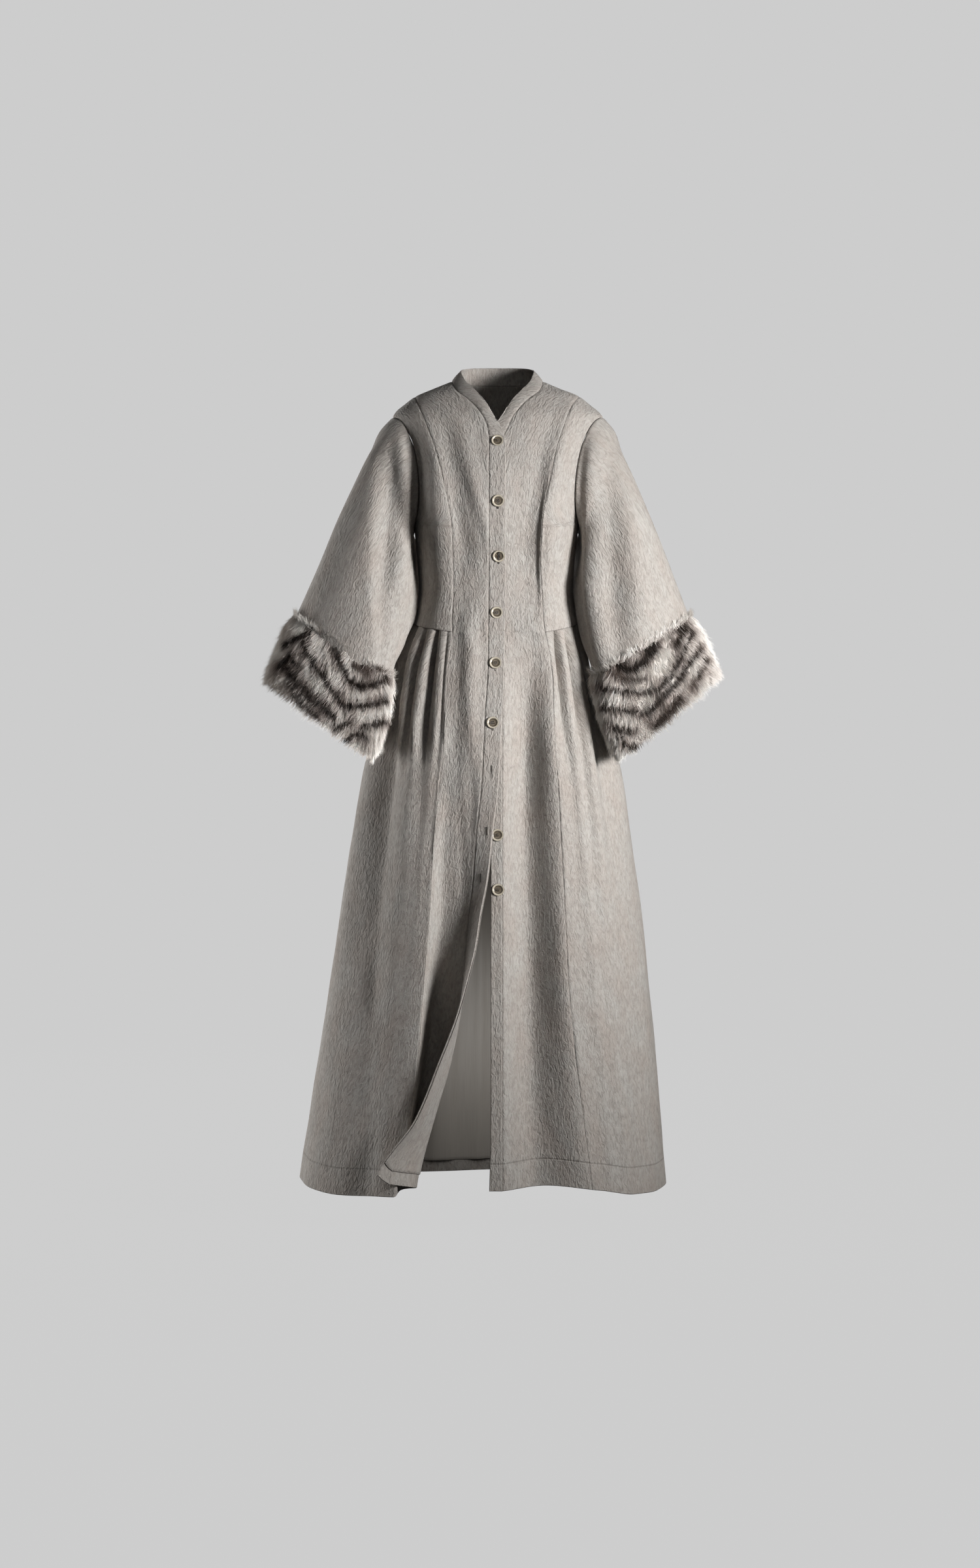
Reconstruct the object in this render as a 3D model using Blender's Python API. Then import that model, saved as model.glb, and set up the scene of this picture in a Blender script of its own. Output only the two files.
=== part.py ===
"""A floor-length fitted wool coat with a stand collar, pleated side skirts and bell sleeves that
turn back in deep fur cuffs, filled out as it is worn.

The scene is in metres, +Z up, with the front of the coat towards -Y. The origin lies between the
shoulders, where a wearer holds the coat up. The wearer's right side is at -X. The tables below
are in millimetres, and each angle is in degrees round from centre front.
"""

import math
from collections import namedtuple

import bmesh
import bpy
import numpy as np

MM = 0.001
RIGHT, LEFT = -1, 1  # the sign of x on the wearer's right and left
SIDE_NAMES = {RIGHT: "right", LEFT: "left"}

# Cloth thicknesses and the gaps between sewn or layered pieces
WOOL = 2.6
SATIN = 1.0
FACING = 1.5
SEAM = 0.3
WAIST_SEAM = 0.5
LAYER = 0.3
LEAST_FACING = 0.62  # how far a wall is let thicken along its edge where it turns sharply
LAP = 3.5  # how far the left front lies behind the right one where they overlap
LAP_FROM, LAP_TO = 16.0, 60.0

# Horizontal sections of the coat round its crests: half widths and depths at each height
Ring = namedtuple("Ring", "z right left front back")
RINGS = (
    Ring(9, 83, 81, 20, 66),
    Ring(-5, 117, 113, 38, 73),
    Ring(-19, 149, 147, 54, 78),
    Ring(-33, 168, 165, 66, 83),
    Ring(-47, 184, 182, 77, 87),
    Ring(-57, 189, 189, 84, 90),
    Ring(-81, 183, 183, 94, 95),
    Ring(-100, 175, 175, 101, 98),
    Ring(-123, 167, 167, 110, 101),
    Ring(-166, 160, 159, 127, 104),
    Ring(-210, 155, 152, 137, 104),
    Ring(-245, 151, 146, 136, 101),
    Ring(-319, 144, 137, 114, 90),
    Ring(-366, 141.5, 134.5, 106, 86),
    Ring(-399, 147, 139, 107, 89),
    Ring(-424, 152, 145, 112, 96),
    Ring(-450, 168, 152, 119, 104),
    Ring(-481, 184, 160, 128, 112),
    Ring(-540, 200, 172, 141, 126),
    Ring(-600, 216, 192, 150, 136),
    Ring(-688, 240, 220, 162, 147),
    Ring(-835, 266, 242, 177, 162),
    Ring(-1071, 301, 271, 200, 187),
    Ring(-1307, 338, 292, 218, 206),
    Ring(-1445, 359, 303, 227, 216),
)
SQUARENESS = 0.025  # how much fuller than an ellipse a section is between front and side

# Front princess seams, which run on down the skirt as the crest of the first pleat
Seam = namedtuple("Seam", "z right left")
PRINCESS = (
    Seam(-19, 149, 147),
    Seam(-42, 141, 131),
    Seam(-74, 128, 119),
    Seam(-116, 113, 105),
    Seam(-178, 97, 92),
    Seam(-216, 89, 83),
    Seam(-262, 82, 78),
    Seam(-325, 80, 75.5),
    Seam(-369, 79, 78),
    Seam(-427, 82, 81),
    Seam(-447, 81, 83.5),
    Seam(-504, 88, 94),
    Seam(-542, 91, 97),
    Seam(-601, 94, 98),
    Seam(-658, 97, 100),
    Seam(-717, 104, 105),
    Seam(-832, 115, 112),
    Seam(-947, 121, 117),
    Seam(-1061, 131, 122),
    Seam(-1175, 139, 133),
    Seam(-1278, 150, 145),
    Seam(-1345, 162, 154),
    Seam(-1445, 184, 166),
)
BackSeam = namedtuple("BackSeam", "z share")
BACK_PRINCESS = (
    BackSeam(-19, 1.0),
    BackSeam(-60, 0.70),
    BackSeam(-120, 0.62),
    BackSeam(-220, 0.57),
    BackSeam(-366, 0.52),
    BackSeam(-432, 0.50),
    BackSeam(-600, 0.46),
    BackSeam(-1445, 0.52),
)

# Neckline on each front, from the shoulder down to the top of the placket
Neck = namedtuple("Neck", "z right left")
NECKLINE = (
    Neck(9, 83, 81),
    Neck(-9, 75.5, 75.5),
    Neck(-28, 54, 54),
    Neck(-48, 35.5, 36),
    Neck(-66, 24.6, 24.5),
    Neck(-81, 19, 18),
    Neck(-100, 15.8, 8.5),
)

# Upper edge of the stand collar beside each lower point of the neckline, then round the back
Upper = namedtuple("Upper", "x y z")
COLLAR_FRONT = {
    RIGHT: (
        Upper(-59, -25, 10),
        Upper(-42, -49, -9),
        Upper(-21, -70, -34),
        Upper(-8, -83, -57),
        Upper(3, -91.5, -76),
    ),
    LEFT: (
        Upper(58, -25, 9),
        Upper(42, -48, -10),
        Upper(22, -69, -33),
        Upper(9, -82, -55),
        Upper(-4, -91.5, -76),
    ),
}
COLLAR_BACK = (
    Upper(-66, 2, 28),
    Upper(-57, 31, 36),
    Upper(-34, 52, 40),
    Upper(0, 60, 41),
    Upper(34, 52, 40),
    Upper(56, 31, 36),
    Upper(64, 2, 28),
)
# Front edges. The over placket lies on the right front and the under placket on the left front
Edge = namedtuple("Edge", "z seam edge")
OVER_EDGE = (
    Edge(-100, -15.8, 13.0),
    Edge(-300, -16.0, 14.0),
    Edge(-500, -17.5, 11.0),
    Edge(-602, -23.5, 7.0),
    Edge(-700, -28.5, 1.0),
)
UNDER_EDGE = (
    Edge(-100, 8.5, -13.0),
    Edge(-1290, 8.0, -13.0),
    Edge(-1445, 8.0, -16.0),
)
PLACKET = 30.0  # finished width of the over placket

# Plan of the right front where it swings open: a valley behind the first pleat, then a roll
# that carries the front edge forwards and turns its inside to the front near the hem
Swing = namedtuple("Swing", "z wall_x wall_y floor_x floor_y roll_x roll_y edge_x edge_y")
OPENING = (
    Swing(-600, -78, -137, -52, -144, -30, -149, 7, -152),
    Swing(-717, -84, -156, -54, -163, -30, -171, 1, -175),
    Swing(-807, -92, -156, -62, -164, -36, -174, -10, -184),
    Swing(-878, -97, -155, -68, -161, -42, -173, -18, -190),
    Swing(-946, -101, -154, -75, -159, -49, -176, -31, -198),
    Swing(-1003, -106, -152, -82, -157, -57, -179, -40, -206),
    Swing(-1060, -112, -148, -90, -152, -65, -178, -54, -215),
    Swing(-1128, -119, -142, -98, -142, -71, -172, -74, -223),
    Swing(-1200, -127, -134, -105, -128, -84, -166, -102, -229),
    Swing(-1300, -146, -128, -126, -114, -113, -160, -143, -236),
    Swing(-1400, -168, -134, -150, -120, -143, -172, -210, -245),
    Swing(-1445, -176, -138, -158, -126, -150, -178, -216, -247),
)
SWING_FROM, SWING_FULL = -560.0, -680.0
CREST_TURN = 4.0  # degrees past the first pleat's crest that set the way the valley leaves it

# Folds, as lines down the cloth. On the fronts, x is measured from the centre, and depth is how
# far the line lies inside the crests
LEVELS = (-424, -504, -600, -717, -1071, -1445)
Fold = namedtuple("Fold", "x depth")
SIDE_FOLDS = {
    RIGHT: (
        Fold((88, 95, 101, 111, 142, 190), (1, 3, 3, 1, 0.4, 0.3)),
        Fold((96, 102, 109, 119, 152, 197), (0, 0, 0, 0.4, 1.2, 1.5)),
        Fold((105, 119, 129, 136, 164, 204), (4, 22, 20, 5, 3.4, 3.4)),
        Fold((114, 135, 149, 156, 180, 212), (0, 0, 0, 4, 7, 6)),
        Fold((124, 147, 161, 171, 196, 220), (4, 15, 12, 10, 12, 8.6)),
        Fold((133, 159, 173, 187, 214, 228), (0, 0, 2, 19, 18, 10.7)),
        Fold((142, 173, 191, 206, 236, 240), (5, 26, 32, 30, 22, 12)),
    ),
    LEFT: (
        Fold((99, 111, 117, 131, 158, 190), (5, 18, 12, 4, 1, 1)),
        Fold((109, 122, 131, 143, 171, 203), (0, 0, 0, 0, 0, 0)),
        Fold((117, 133, 146, 158, 185, 216), (4, 19, 14, 7, 2, 1)),
        Fold((127, 145, 159, 171, 199, 231), (0, 0, 0, 1, 1, 0)),
        Fold((135, 158, 178, 194, 233, 250), (5, 18, 18, 14, 7, 5)),
    ),
}
FRONT_FOLDS = {
    RIGHT: (),
    LEFT: (Fold((50, 58, 56, 54, 58, 72), (0, 12, 28, 38, 39, 29)),),
}

# Folds on the back. Here share is the part of the way from the back princess seam to the side,
# or below zero towards centre back
BackFold = namedtuple("BackFold", "share depth")
BACK_FOLDS = {
    RIGHT: (
        BackFold(0.13, (4, 19, 16, 10, 4, 3)),
        BackFold(0.27, (0, 0, 0, 0, 0, 0)),
        BackFold(0.41, (4, 21, 18, 12, 6, 5)),
        BackFold(0.55, (0, 0, 0, 1, 1, 1)),
        BackFold(0.69, (4, 18, 20, 14, 8, 6)),
    ),
    LEFT: (
        BackFold(0.14, (4, 17, 14, 9, 5, 4)),
        BackFold(0.29, (0, 0, 0, 0, 0, 0)),
        BackFold(0.43, (4, 19, 17, 13, 7, 5)),
        BackFold(0.56, (0, 0, 0, 1, 1, 1)),
        BackFold(0.70, (4, 15, 17, 12, 6, 5)),
    ),
}
CENTRE_BACK_FOLDS = {
    RIGHT: BackFold(-0.45, (0, 1, 4, 7, 11, 12)),
    LEFT: BackFold(-0.55, (0, 1, 3, 6, 10, 13)),
}
PRESSED, PRESSED_FROM, PRESSED_TO = 0.85, -560.0, -650.0
SIDE_CREST = 80.0  # the outer pleat crests keep the outline from this angle to the side

# Soft folds of the fronts and of the sleeves, as lines seen from the front: x at each height, and
# how far the line stands out (below zero for a hollow). The first and last lines are flat
SoftLine = namedtuple("SoftLine", "x rise")
BODY_LEVELS = (-50, -115, -161, -207, -254, -300, -346, -393, -439, -485, -578, -670, -780)
BODY_FOLDS = (
    SoftLine((-170, -152, -146, -144, -146, -146, -144, -140, -150, -170, -190, -210, -240), (0,) * 13),
    SoftLine((-135, -122, -116, -113, -112, -110, -106, -104, -104, -104, -110, -120, -130),
             (0, 9, 14, 16, 16, 14, 9, 5, 2, 0, 0, 0, 0)),
    SoftLine((-98, -84, -76, -68, -62, -58, -62, -70, -76, -74, -74, -78, -90),
             (0, 0, -1, -2, -2, -2, 0, 0, 0, 0, 0, 0, 0)),
    SoftLine((-70, -59, -47, -36, -27, -24, -28, -40, -54, -49, -49, -53, -64),
             (0, 4, 6, 6, 5, 3, 1, 2, 6, 8, 7, 4, 0)),
    SoftLine((-40, -34, -22, -15, -10, -8, -8, -14, -26, -22, -22, -26, -36), (0,) * 13),
    SoftLine((20, 20, 12, 10, 8, 8, 8, 10, 12, 14, 14, 14, 14), (0,) * 13),
    SoftLine((98, 78, 68, 58, 50, 48, 48, 48, 50, 52, 54, 54, 54),
             (0, -5, -8, -9, -9, -8, -5, -3, -1, 0, 0, 0, 0)),
    SoftLine((131, 118, 107, 99, 92, 91, 93, 96, 97, 98, 98, 98, 98),
             (3, 7, 10, 12, 12, 12, 8, 6, 3, 0, 0, 0, 0)),
    SoftLine((165, 142, 139, 138, 137, 136, 134, 134, 140, 160, 170, 180, 190), (0,) * 13),
)
SLEEVE_LEVELS = (-80, -115, -161, -207, -254, -300, -346, -393, -439, -485, -560)
SLEEVE_FOLDS = {
    RIGHT: (
        SoftLine((-260, -262, -270, -290, -310, -330, -352, -375, -398, -420, -450), (0,) * 11),
        SoftLine((-216, -222, -226, -227, -229, -230, -230, -228, -226, -223, -223),
                 (0, 3, 6, 8, 10, 11, 11, 11, 10, 8, 0)),
        SoftLine((-192, -192, -192, -194, -196, -199, -203, -206, -204, -204, -208),
                 (0, -3, -5, -6, -6, -6, -4, 0, 0, 0, 0)),
        SoftLine((-176, -172, -166, -163, -165, -169, -176, -184, -190, -194, -204),
                 (0, 4, 6, 7, 7, 6, 3, 0, 0, 0, 0)),
        SoftLine((-150, -150, -148, -148, -150, -154, -160, -168, -176, -184, -200), (0,) * 11),
    ),
    LEFT: (
        SoftLine((145, 146, 147, 148, 148, 148, 150, 152, 158, 166, 180), (0,) * 11),
        SoftLine((165, 163, 162, 161, 161, 161, 162, 164, 169, 177, 190),
                 (0, 5, 8, 9, 10, 10, 10, 10, 8, 6, 0)),
        SoftLine((196, 198, 200, 202, 202, 202, 203, 205, 208, 212, 220),
                 (0, -2, -3, -4, -5, -5, -5, -5, -4, -3, 0)),
        SoftLine((222, 228, 234, 237, 240, 243, 247, 251, 255, 257, 260),
                 (0, 1, 3, 4, 5, 6, 7, 7, 6, 4, 0)),
        SoftLine((250, 255, 268, 285, 300, 318, 336, 354, 372, 390, 415), (0,) * 11),
    ),
}
DRAPE_FADE = 20.0  # how far to each side of the shoulder line the body's soft folds fade out
SLEEVE_FADE = 22.0  # and how far below its seam the sleeve's begin

# Waist seam and hem heights round the coat, by angle from centre front
Level = namedtuple("Level", "angle right left")
WAIST_FRONT, WAIST_SIDE, WAIST_BACK = -447.0, -424.0, -432.0
HEM = (
    Level(0, -1436, -1429),
    Level(17, -1439, -1421),
    Level(34, -1441, -1430),
    Level(50, -1443, -1441),
    Level(65, -1438, -1442),
    Level(90, -1425, -1431),
    Level(135, -1440, -1438),
    Level(180, -1436, -1436),
)
HEM_LEVEL = -1440.0  # where the hem is, near enough to look up a seam's place in it
BACK_SEAM_ANGLE, PLACKET_ANGLE = 150.0, 2.0
EDGE_LIFT = 42.0  # how much higher the open front corner hangs than the pleat beside it
LIFT_TO_PLACKET, LIFT_BEND = 0.72, 1.6

# Armholes: a loop from the shoulder tip, in past the chest, to the underarm and up the back
TIP_Z, UNDERARM_Z, PRINCESS_UNDERARM_Z = -57.0, -245.0, -262.0
FRONT_BOW, BACK_BOW = 27.0, 29.0
ARMHOLE_STEPS = 12

# Sleeve sections from below the cap to the hem: outer and inner fold line, how far the section
# rounds forwards and backwards, and how far its back half leans in behind the body
Section = namedtuple("Section", "ox oy oz ix iy iz front back lean")
SLEEVES = {
    RIGHT: (
        Section(-229, 4, -118, -153, -27, -298, 68, 57, 0),
        Section(-256, 6, -180, -150, -48, -334, 66, 60, 20),
        Section(-284, 8, -246, -156, -68, -368, 62, 68, 48),
        Section(-308, 8, -303, -169, -78, -415, 60, 68, 84),
        Section(-332, 8, -359, -184, -92, -467, 57, 62, 92),
        Section(-355, 8, -413, -199, -104, -521, 55, 54, 70),
        Section(-378, 6, -469, -211, -114, -590, 54, 49, 28),
        Section(-398, 4, -521, -226, -120, -652, 54, 47, 0),
    ),
    LEFT: (
        Section(223, 4, -118, 150, -27, -298, 68, 57, 0),
        Section(247, 6, -180, 147, -48, -334, 66, 60, 20),
        Section(272, 8, -246, 152, -68, -368, 62, 68, 48),
        Section(294, 8, -303, 161, -78, -415, 60, 68, 84),
        Section(315, 8, -359, 171, -92, -465, 57, 62, 92),
        Section(336, 8, -415, 184, -104, -516, 55, 54, 70),
        Section(358, 6, -468, 198, -114, -588, 54, 49, 28),
        Section(377, 4, -514, 216, -120, -652, 54, 47, 0),
    ),
}
CAP_SHARE = 0.36  # where the ring of the cap lies between the armhole and the first section
CAP_EASE = 6.5  # how far the cap rounds out past a straight fall
SLEEVE_STEPS = (1, 2, 3, 4, 5, 6, 6.5, 7, 7.5, 8)
UNDERARM_LAP = 2.5  # extra room between sleeve and body at the underarm
SLEEVE_ROOM, CUFF_ROOM = 11.0, 31.0  # and further down, where they rest beside the body
SLEEVE_LENS = 0.16  # a section is this much deeper near its outer line than near its inner one
CUFF_STEPS = (6, 6.5, 7, 7.5, 8)
CUFF_PILE = (10, 18, 20, 20, 18, 11)
CUFF_OVERHANG = 11.0

# Rows of points down the panels
NECK_ROWS = 6
SHOULDER_COLUMNS = 8
SIDE_COLUMNS = 4
SIDE_ROWS = 4
BACK_COLUMNS = 10
SKIRT_ROWS = (0.0, 0.014, 0.036, 0.065, 0.105, 0.16, 0.24, 0.36, 0.51, 0.67, 0.8, 0.9, 0.978, 1.0)
LINING_FROM = 4
LINING_FOLDS = 7.0
FACING_FROM, FACING_COLUMNS = 7, 5

# Buttons: x, z and the layer that each is sewn or buttoned to
Button = namedtuple("Button", "x z over")
BUTTONS = (
    Button(-1.2, -107, True),
    Button(0.0, -216, True),
    Button(1.2, -312, True),
    Button(-2.3, -413, True),
    Button(-4.6, -503, True),
    Button(-9.2, -609, True),
    Button(-9.3, -705, False),
    Button(-1.1, -807, False),
    Button(0.0, -903, False),
)
BUTTON_RADIUS = 11.0
BUTTON_SIDES = 18
BUTTON_REST = 0.4  # clearance under a flat button on the slightly rounded placket
ButtonStep = namedtuple("ButtonStep", "radius height")
BUTTON_PROFILE = (
    ButtonStep(0.0, 0.0),
    ButtonStep(8.6, 0.0),
    ButtonStep(11.0, 1.7),
    ButtonStep(9.6, 3.6),
    ButtonStep(6.6, 2.2),
    ButtonStep(0.0, 2.0),
)

# Colours and finishes
Finish = namedtuple("Finish", "colour roughness")
WOOL_FINISH = Finish((0.36, 0.33, 0.31), 0.95)
SATIN_FINISH = Finish((0.50, 0.46, 0.43), 0.45)
FUR_FINISH = Finish((0.66, 0.61, 0.57), 0.9)
HORN_FINISH = Finish((0.42, 0.38, 0.33), 0.35)


class Curve:
    """A smooth curve through its knots that never swings past them, held level beyond its ends."""

    def __init__(self, knots, values):
        order = np.argsort(knots)
        self.knots = np.asarray(knots, float)[order]
        self.values = np.asarray(values, float)[order]
        rise = np.diff(self.values) / np.diff(self.knots)
        slopes = [rise[0]]
        for before, after in zip(rise[:-1], rise[1:]):
            turns = before * after <= 0
            slopes.append(0.0 if turns else 2 * before * after / (before + after))
        slopes.append(rise[-1])
        self.slopes = np.asarray(slopes)

    def __call__(self, at):
        at = min(max(at, self.knots[0]), self.knots[-1])
        k = int(np.searchsorted(self.knots, at, side="right")) - 1
        k = min(max(k, 0), len(self.knots) - 2)
        step = self.knots[k + 1] - self.knots[k]
        t = (at - self.knots[k]) / step
        start = (1 + 2 * t) * (1 - t) ** 2 * self.values[k] + t * (1 - t) ** 2 * step * self.slopes[k]
        end = t * t * (3 - 2 * t) * self.values[k + 1] + t * t * (t - 1) * step * self.slopes[k + 1]
        return float(start + end)


def table_curve(rows, key, value):
    """The curve of one column of a table against another."""
    return Curve([getattr(row, key) for row in rows], [getattr(row, value) for row in rows])


HALF = {RIGHT: table_curve(RINGS, "z", "right"), LEFT: table_curve(RINGS, "z", "left")}
FRONT_DEPTH = table_curve(RINGS, "z", "front")
BACK_DEPTH = table_curve(RINGS, "z", "back")
PRINCESS_X = {RIGHT: table_curve(PRINCESS, "z", "right"), LEFT: table_curve(PRINCESS, "z", "left")}
BACK_SHARE = table_curve(BACK_PRINCESS, "z", "share")
NECK_X = {RIGHT: table_curve(NECKLINE, "z", "right"), LEFT: table_curve(NECKLINE, "z", "left")}
OVER_SEAM_X = table_curve(OVER_EDGE, "z", "seam")
OVER_EDGE_X = table_curve(OVER_EDGE, "z", "edge")
UNDER_SEAM_X = table_curve(UNDER_EDGE, "z", "seam")
UNDER_EDGE_X = table_curve(UNDER_EDGE, "z", "edge")
HEM_Z = {RIGHT: table_curve(HEM, "angle", "right"), LEFT: table_curve(HEM, "angle", "left")}
SWING = {name: table_curve(OPENING, "z", name) for name in Swing._fields[1:]}


def mix(a, b, t):
    return a + (b - a) * t


def ease(start, end, value):
    """0 at start and 1 at end, with a soft beginning and finish."""
    t = min(max((value - start) / (end - start), 0.0), 1.0)
    return t * t * (3 - 2 * t)


def unit(vector):
    return vector / max(np.linalg.norm(vector), 1e-12)


def section_x(turn, half):
    return half * (math.sin(turn) + SQUARENESS * math.sin(3 * turn)) / (1 - SQUARENESS)


def angle_of(x, z, back=False):
    """The angle at which the section at height z reaches the distance x from the centre."""
    half = HALF[RIGHT if x < 0 else LEFT](z)
    reach = min(abs(x), half)
    low, high = 0.0, math.pi / 2
    for _ in range(40):
        turn = (low + high) / 2
        if section_x(turn, half) < reach:
            low = turn
        else:
            high = turn
    angle = math.degrees((low + high) / 2)
    angle = 180 - angle if back else angle
    return -angle if x < 0 else angle


def outline(angle, z, inside=0.0):
    """A point of the section at height z, moved inwards from it by a depth."""
    side = RIGHT if angle < 0 else LEFT
    turn = math.radians(abs(angle))
    half = HALF[side](z)
    deep = FRONT_DEPTH(z) if abs(angle) <= 90 else BACK_DEPTH(z)
    full = 1 - SQUARENESS
    x = side * section_x(turn, half)
    y = -deep * (math.cos(turn) - SQUARENESS * math.cos(3 * turn)) / full
    along_x = half * (math.cos(turn) + 3 * SQUARENESS * math.cos(3 * turn))
    along_y = deep * (math.sin(turn) - 3 * SQUARENESS * math.sin(3 * turn))
    out = unit(np.array([side * along_y, -along_x, 0.0]))
    return np.array([x, y, z]) - out * inside


def fold_lines(side, z):
    """Every fold line on one side of the coat at height z, as (angle, depth) from front to back."""
    lines = [(0.0, 0.0)]
    for fold in FRONT_FOLDS[side]:
        x = Curve(LEVELS, fold.x)(z)
        lines.append((abs(angle_of(side * x, z)), Curve(LEVELS, fold.depth)(z)))
    lines.append((abs(princess_angle(side, z)), 0.0))
    for fold in SIDE_FOLDS[side]:
        x = Curve(LEVELS, fold.x)(z)
        lines.append((abs(angle_of(side * x, z)), Curve(LEVELS, fold.depth)(z)))
    lines.append((SIDE_CREST, 0.0))
    lines.append((180 - SIDE_CREST, 0.0))
    seam = abs(back_princess_angle(side, z))
    for fold in reversed(BACK_FOLDS[side]):
        angle = seam - (seam - 90) * fold.share
        lines.append((angle, Curve(LEVELS, fold.depth)(z)))
    lines.append((seam, 0.0))
    centre = CENTRE_BACK_FOLDS[side]
    lines.append((seam - (180 - seam) * centre.share, Curve(LEVELS, centre.depth)(z)))
    lines.append((180.0, 0.0))
    return lines


def princess_angle(side, z):
    return angle_of(side * PRINCESS_X[side](z), z)


def back_princess_angle(side, z):
    return angle_of(side * HALF[side](z) * BACK_SHARE(z), z, back=True)


def fold_depth(angle, z):
    """How far the folds carry the cloth inside its crests at one place."""
    if z > WAIST_SIDE:
        return 0.0
    side = RIGHT if angle < 0 else LEFT
    lines = fold_lines(side, z)
    turn = abs(angle)
    for k in range(len(lines) - 1):
        (a, depth_a), (b, depth_b) = lines[k], lines[k + 1]
        if a <= turn <= b:
            wide = max(b - a, 1e-9)
            share = (turn - a) / wide
            narrow = share ** 2 if depth_b > depth_a else 1 - (1 - share) ** 2
            t = mix(share, narrow, pressed(z) if k > len(FRONT_FOLDS[side]) else 0.0)
            start = (1 + 2 * t) * (1 - t) ** 2 * depth_a + t * (1 - t) ** 2 * wide * line_slope(lines, k)
            end = t * t * (3 - 2 * t) * depth_b + t * t * (t - 1) * wide * line_slope(lines, k + 1)
            return start + end
    return 0.0


def pressed(z):
    """How sharply the pleats are pressed: wide crests and narrow valleys that soften at the hip."""
    return PRESSED * ease(PRESSED_TO, PRESSED_FROM, z)


def line_slope(lines, k):
    """How fast the fold depth changes with the angle at a line: level at a crest or a valley."""
    if k in (0, len(lines) - 1):
        return 0.0
    before, after = ((lines[j + 1][1] - lines[j][1]) / max(lines[j + 1][0] - lines[j][0], 1e-6)
                     for j in (k - 1, k))
    return 0.0 if before * after <= 0 else 2 * before * after / (before + after)


def soft_rise(lines, levels, x, z):
    """How far soft folds bring the cloth forwards at one place seen from the front."""
    here = [(Curve(levels, line.x)(z), Curve(levels, line.rise)(z)) for line in lines]
    for (a, rise_a), (b, rise_b) in zip(here, here[1:]):
        if a <= x < b:
            share = (x - a) / max(b - a, 1e-6)
            return mix(rise_a, rise_b, (1 - math.cos(math.pi * share)) / 2)
    return 0.0


def draped(point):
    """A point of the body with the soft folds of its front."""
    rise = soft_rise(BODY_FOLDS, BODY_LEVELS, point[0], point[2])
    rise *= 1 - ease(-DRAPE_FADE, DRAPE_FADE, point[1])
    return np.array([point[0], point[1] - rise, point[2]])


def draped_grid(grid):
    return np.array([[draped(point) for point in row] for row in grid])


def cloth(angle, z):
    """The middle of the cloth at an angle and height, with its folds and the front overlap."""
    inside = fold_depth(angle, z)
    if 0 <= angle < 90:
        x = section_x(math.radians(angle), HALF[LEFT](z))
        inside += LAP * (1 - ease(LAP_FROM, LAP_TO, x))
    return outline(angle, z, inside)


def armhole(side, step, back):
    """Angle and height of a point of the armhole, from the tip (0) to the underarm."""
    turn = math.pi * step / ARMHOLE_STEPS
    z = mix(TIP_Z, UNDERARM_Z, (1 - math.cos(turn)) / 2)
    half = mix(HALF[side](TIP_Z), HALF[side](UNDERARM_Z), (1 - math.cos(turn)) / 2)
    bow = (BACK_BOW if back else FRONT_BOW) * math.sin(turn) * (1 + 0.25 * math.cos(turn))
    if step in (0, ARMHOLE_STEPS):
        return side * 90.0, z
    return angle_of(side * (half - bow), z, back), z


def princess_rows():
    """Heights of the panel rows where they meet the princess seams, shoulder to waist."""
    rows = []
    for step in range(ARMHOLE_STEPS + 1):
        even = step / ARMHOLE_STEPS
        round_off = (1 - math.cos(math.pi * even)) / 2
        rows.append(mix(PRINCESS[0].z, PRINCESS_UNDERARM_Z, (even + round_off) / 2))
    return rows


def front_rows(waist):
    rows = princess_rows()
    for step in range(1, SIDE_ROWS + 1):
        rows.append(mix(PRINCESS_UNDERARM_Z, waist, step / SIDE_ROWS))
    return rows


def side_panel(side, back):
    """Bodice side from the shoulder and armhole to the waist. Column 0 is the armhole side."""
    waist = WAIST_BACK if back else WAIST_FRONT
    seam_angle = back_princess_angle if back else princess_angle
    inner = [(seam_angle(side, z), z) for z in front_rows(waist)]
    inner[0] = (side * 90.0, inner[0][1])
    outer = [armhole(side, step, back) for step in range(ARMHOLE_STEPS + 1)]
    for step in range(1, SIDE_ROWS + 1):
        outer.append((side * 90.0, mix(UNDERARM_Z, WAIST_SIDE, step / SIDE_ROWS)))
    grid = []
    for (a, za), (b, zb) in zip(outer, inner):
        grid.append([bodice_point(mix(a, b, s), mix(za, zb, s))
                     for s in np.linspace(0, 1, SIDE_COLUMNS + 1)])
    return np.array(grid)


def bodice_point(angle, z):
    """A point above the waist, where only the front overlap moves the cloth inwards."""
    inside = 0.0
    if 0 <= angle < 90:
        x = section_x(math.radians(angle), HALF[LEFT](z))
        inside = LAP * (1 - ease(LAP_FROM, LAP_TO, x))
    return outline(angle, z, inside)


def inner_front_rows(side):
    """Angle and height where the panel rows meet the neckline and then the placket, to the waist."""
    rows = []
    for row in NECKLINE:
        x = row.right if side == RIGHT else row.left
        rows.append((side * 90.0 if row is NECKLINE[0] else angle_of(side * x, row.z), row.z))
    seam = front_rows(WAIST_FRONT)
    start = seam[NECK_ROWS]
    for z in seam[NECK_ROWS + 1:]:
        height = mix(NECKLINE[-1].z, WAIST_FRONT, (z - start) / (WAIST_FRONT - start))
        x = OVER_SEAM_X(height) if side == RIGHT else UNDER_SEAM_X(height)
        rows.append((angle_of(x, height), height))
    return rows


def bodice_front(side):
    """Centre front above the waist. Column 0 is the princess seam."""
    outer = [(princess_angle(side, z), z) for z in front_rows(WAIST_FRONT)]
    outer[0] = (side * 90.0, outer[0][1])
    grid = []
    for (a, za), (b, zb) in zip(outer, inner_front_rows(side)):
        grid.append([bodice_point(mix(a, b, s), mix(za, zb, s))
                     for s in np.linspace(0, 1, SHOULDER_COLUMNS + 1)])
    return grid


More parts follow.
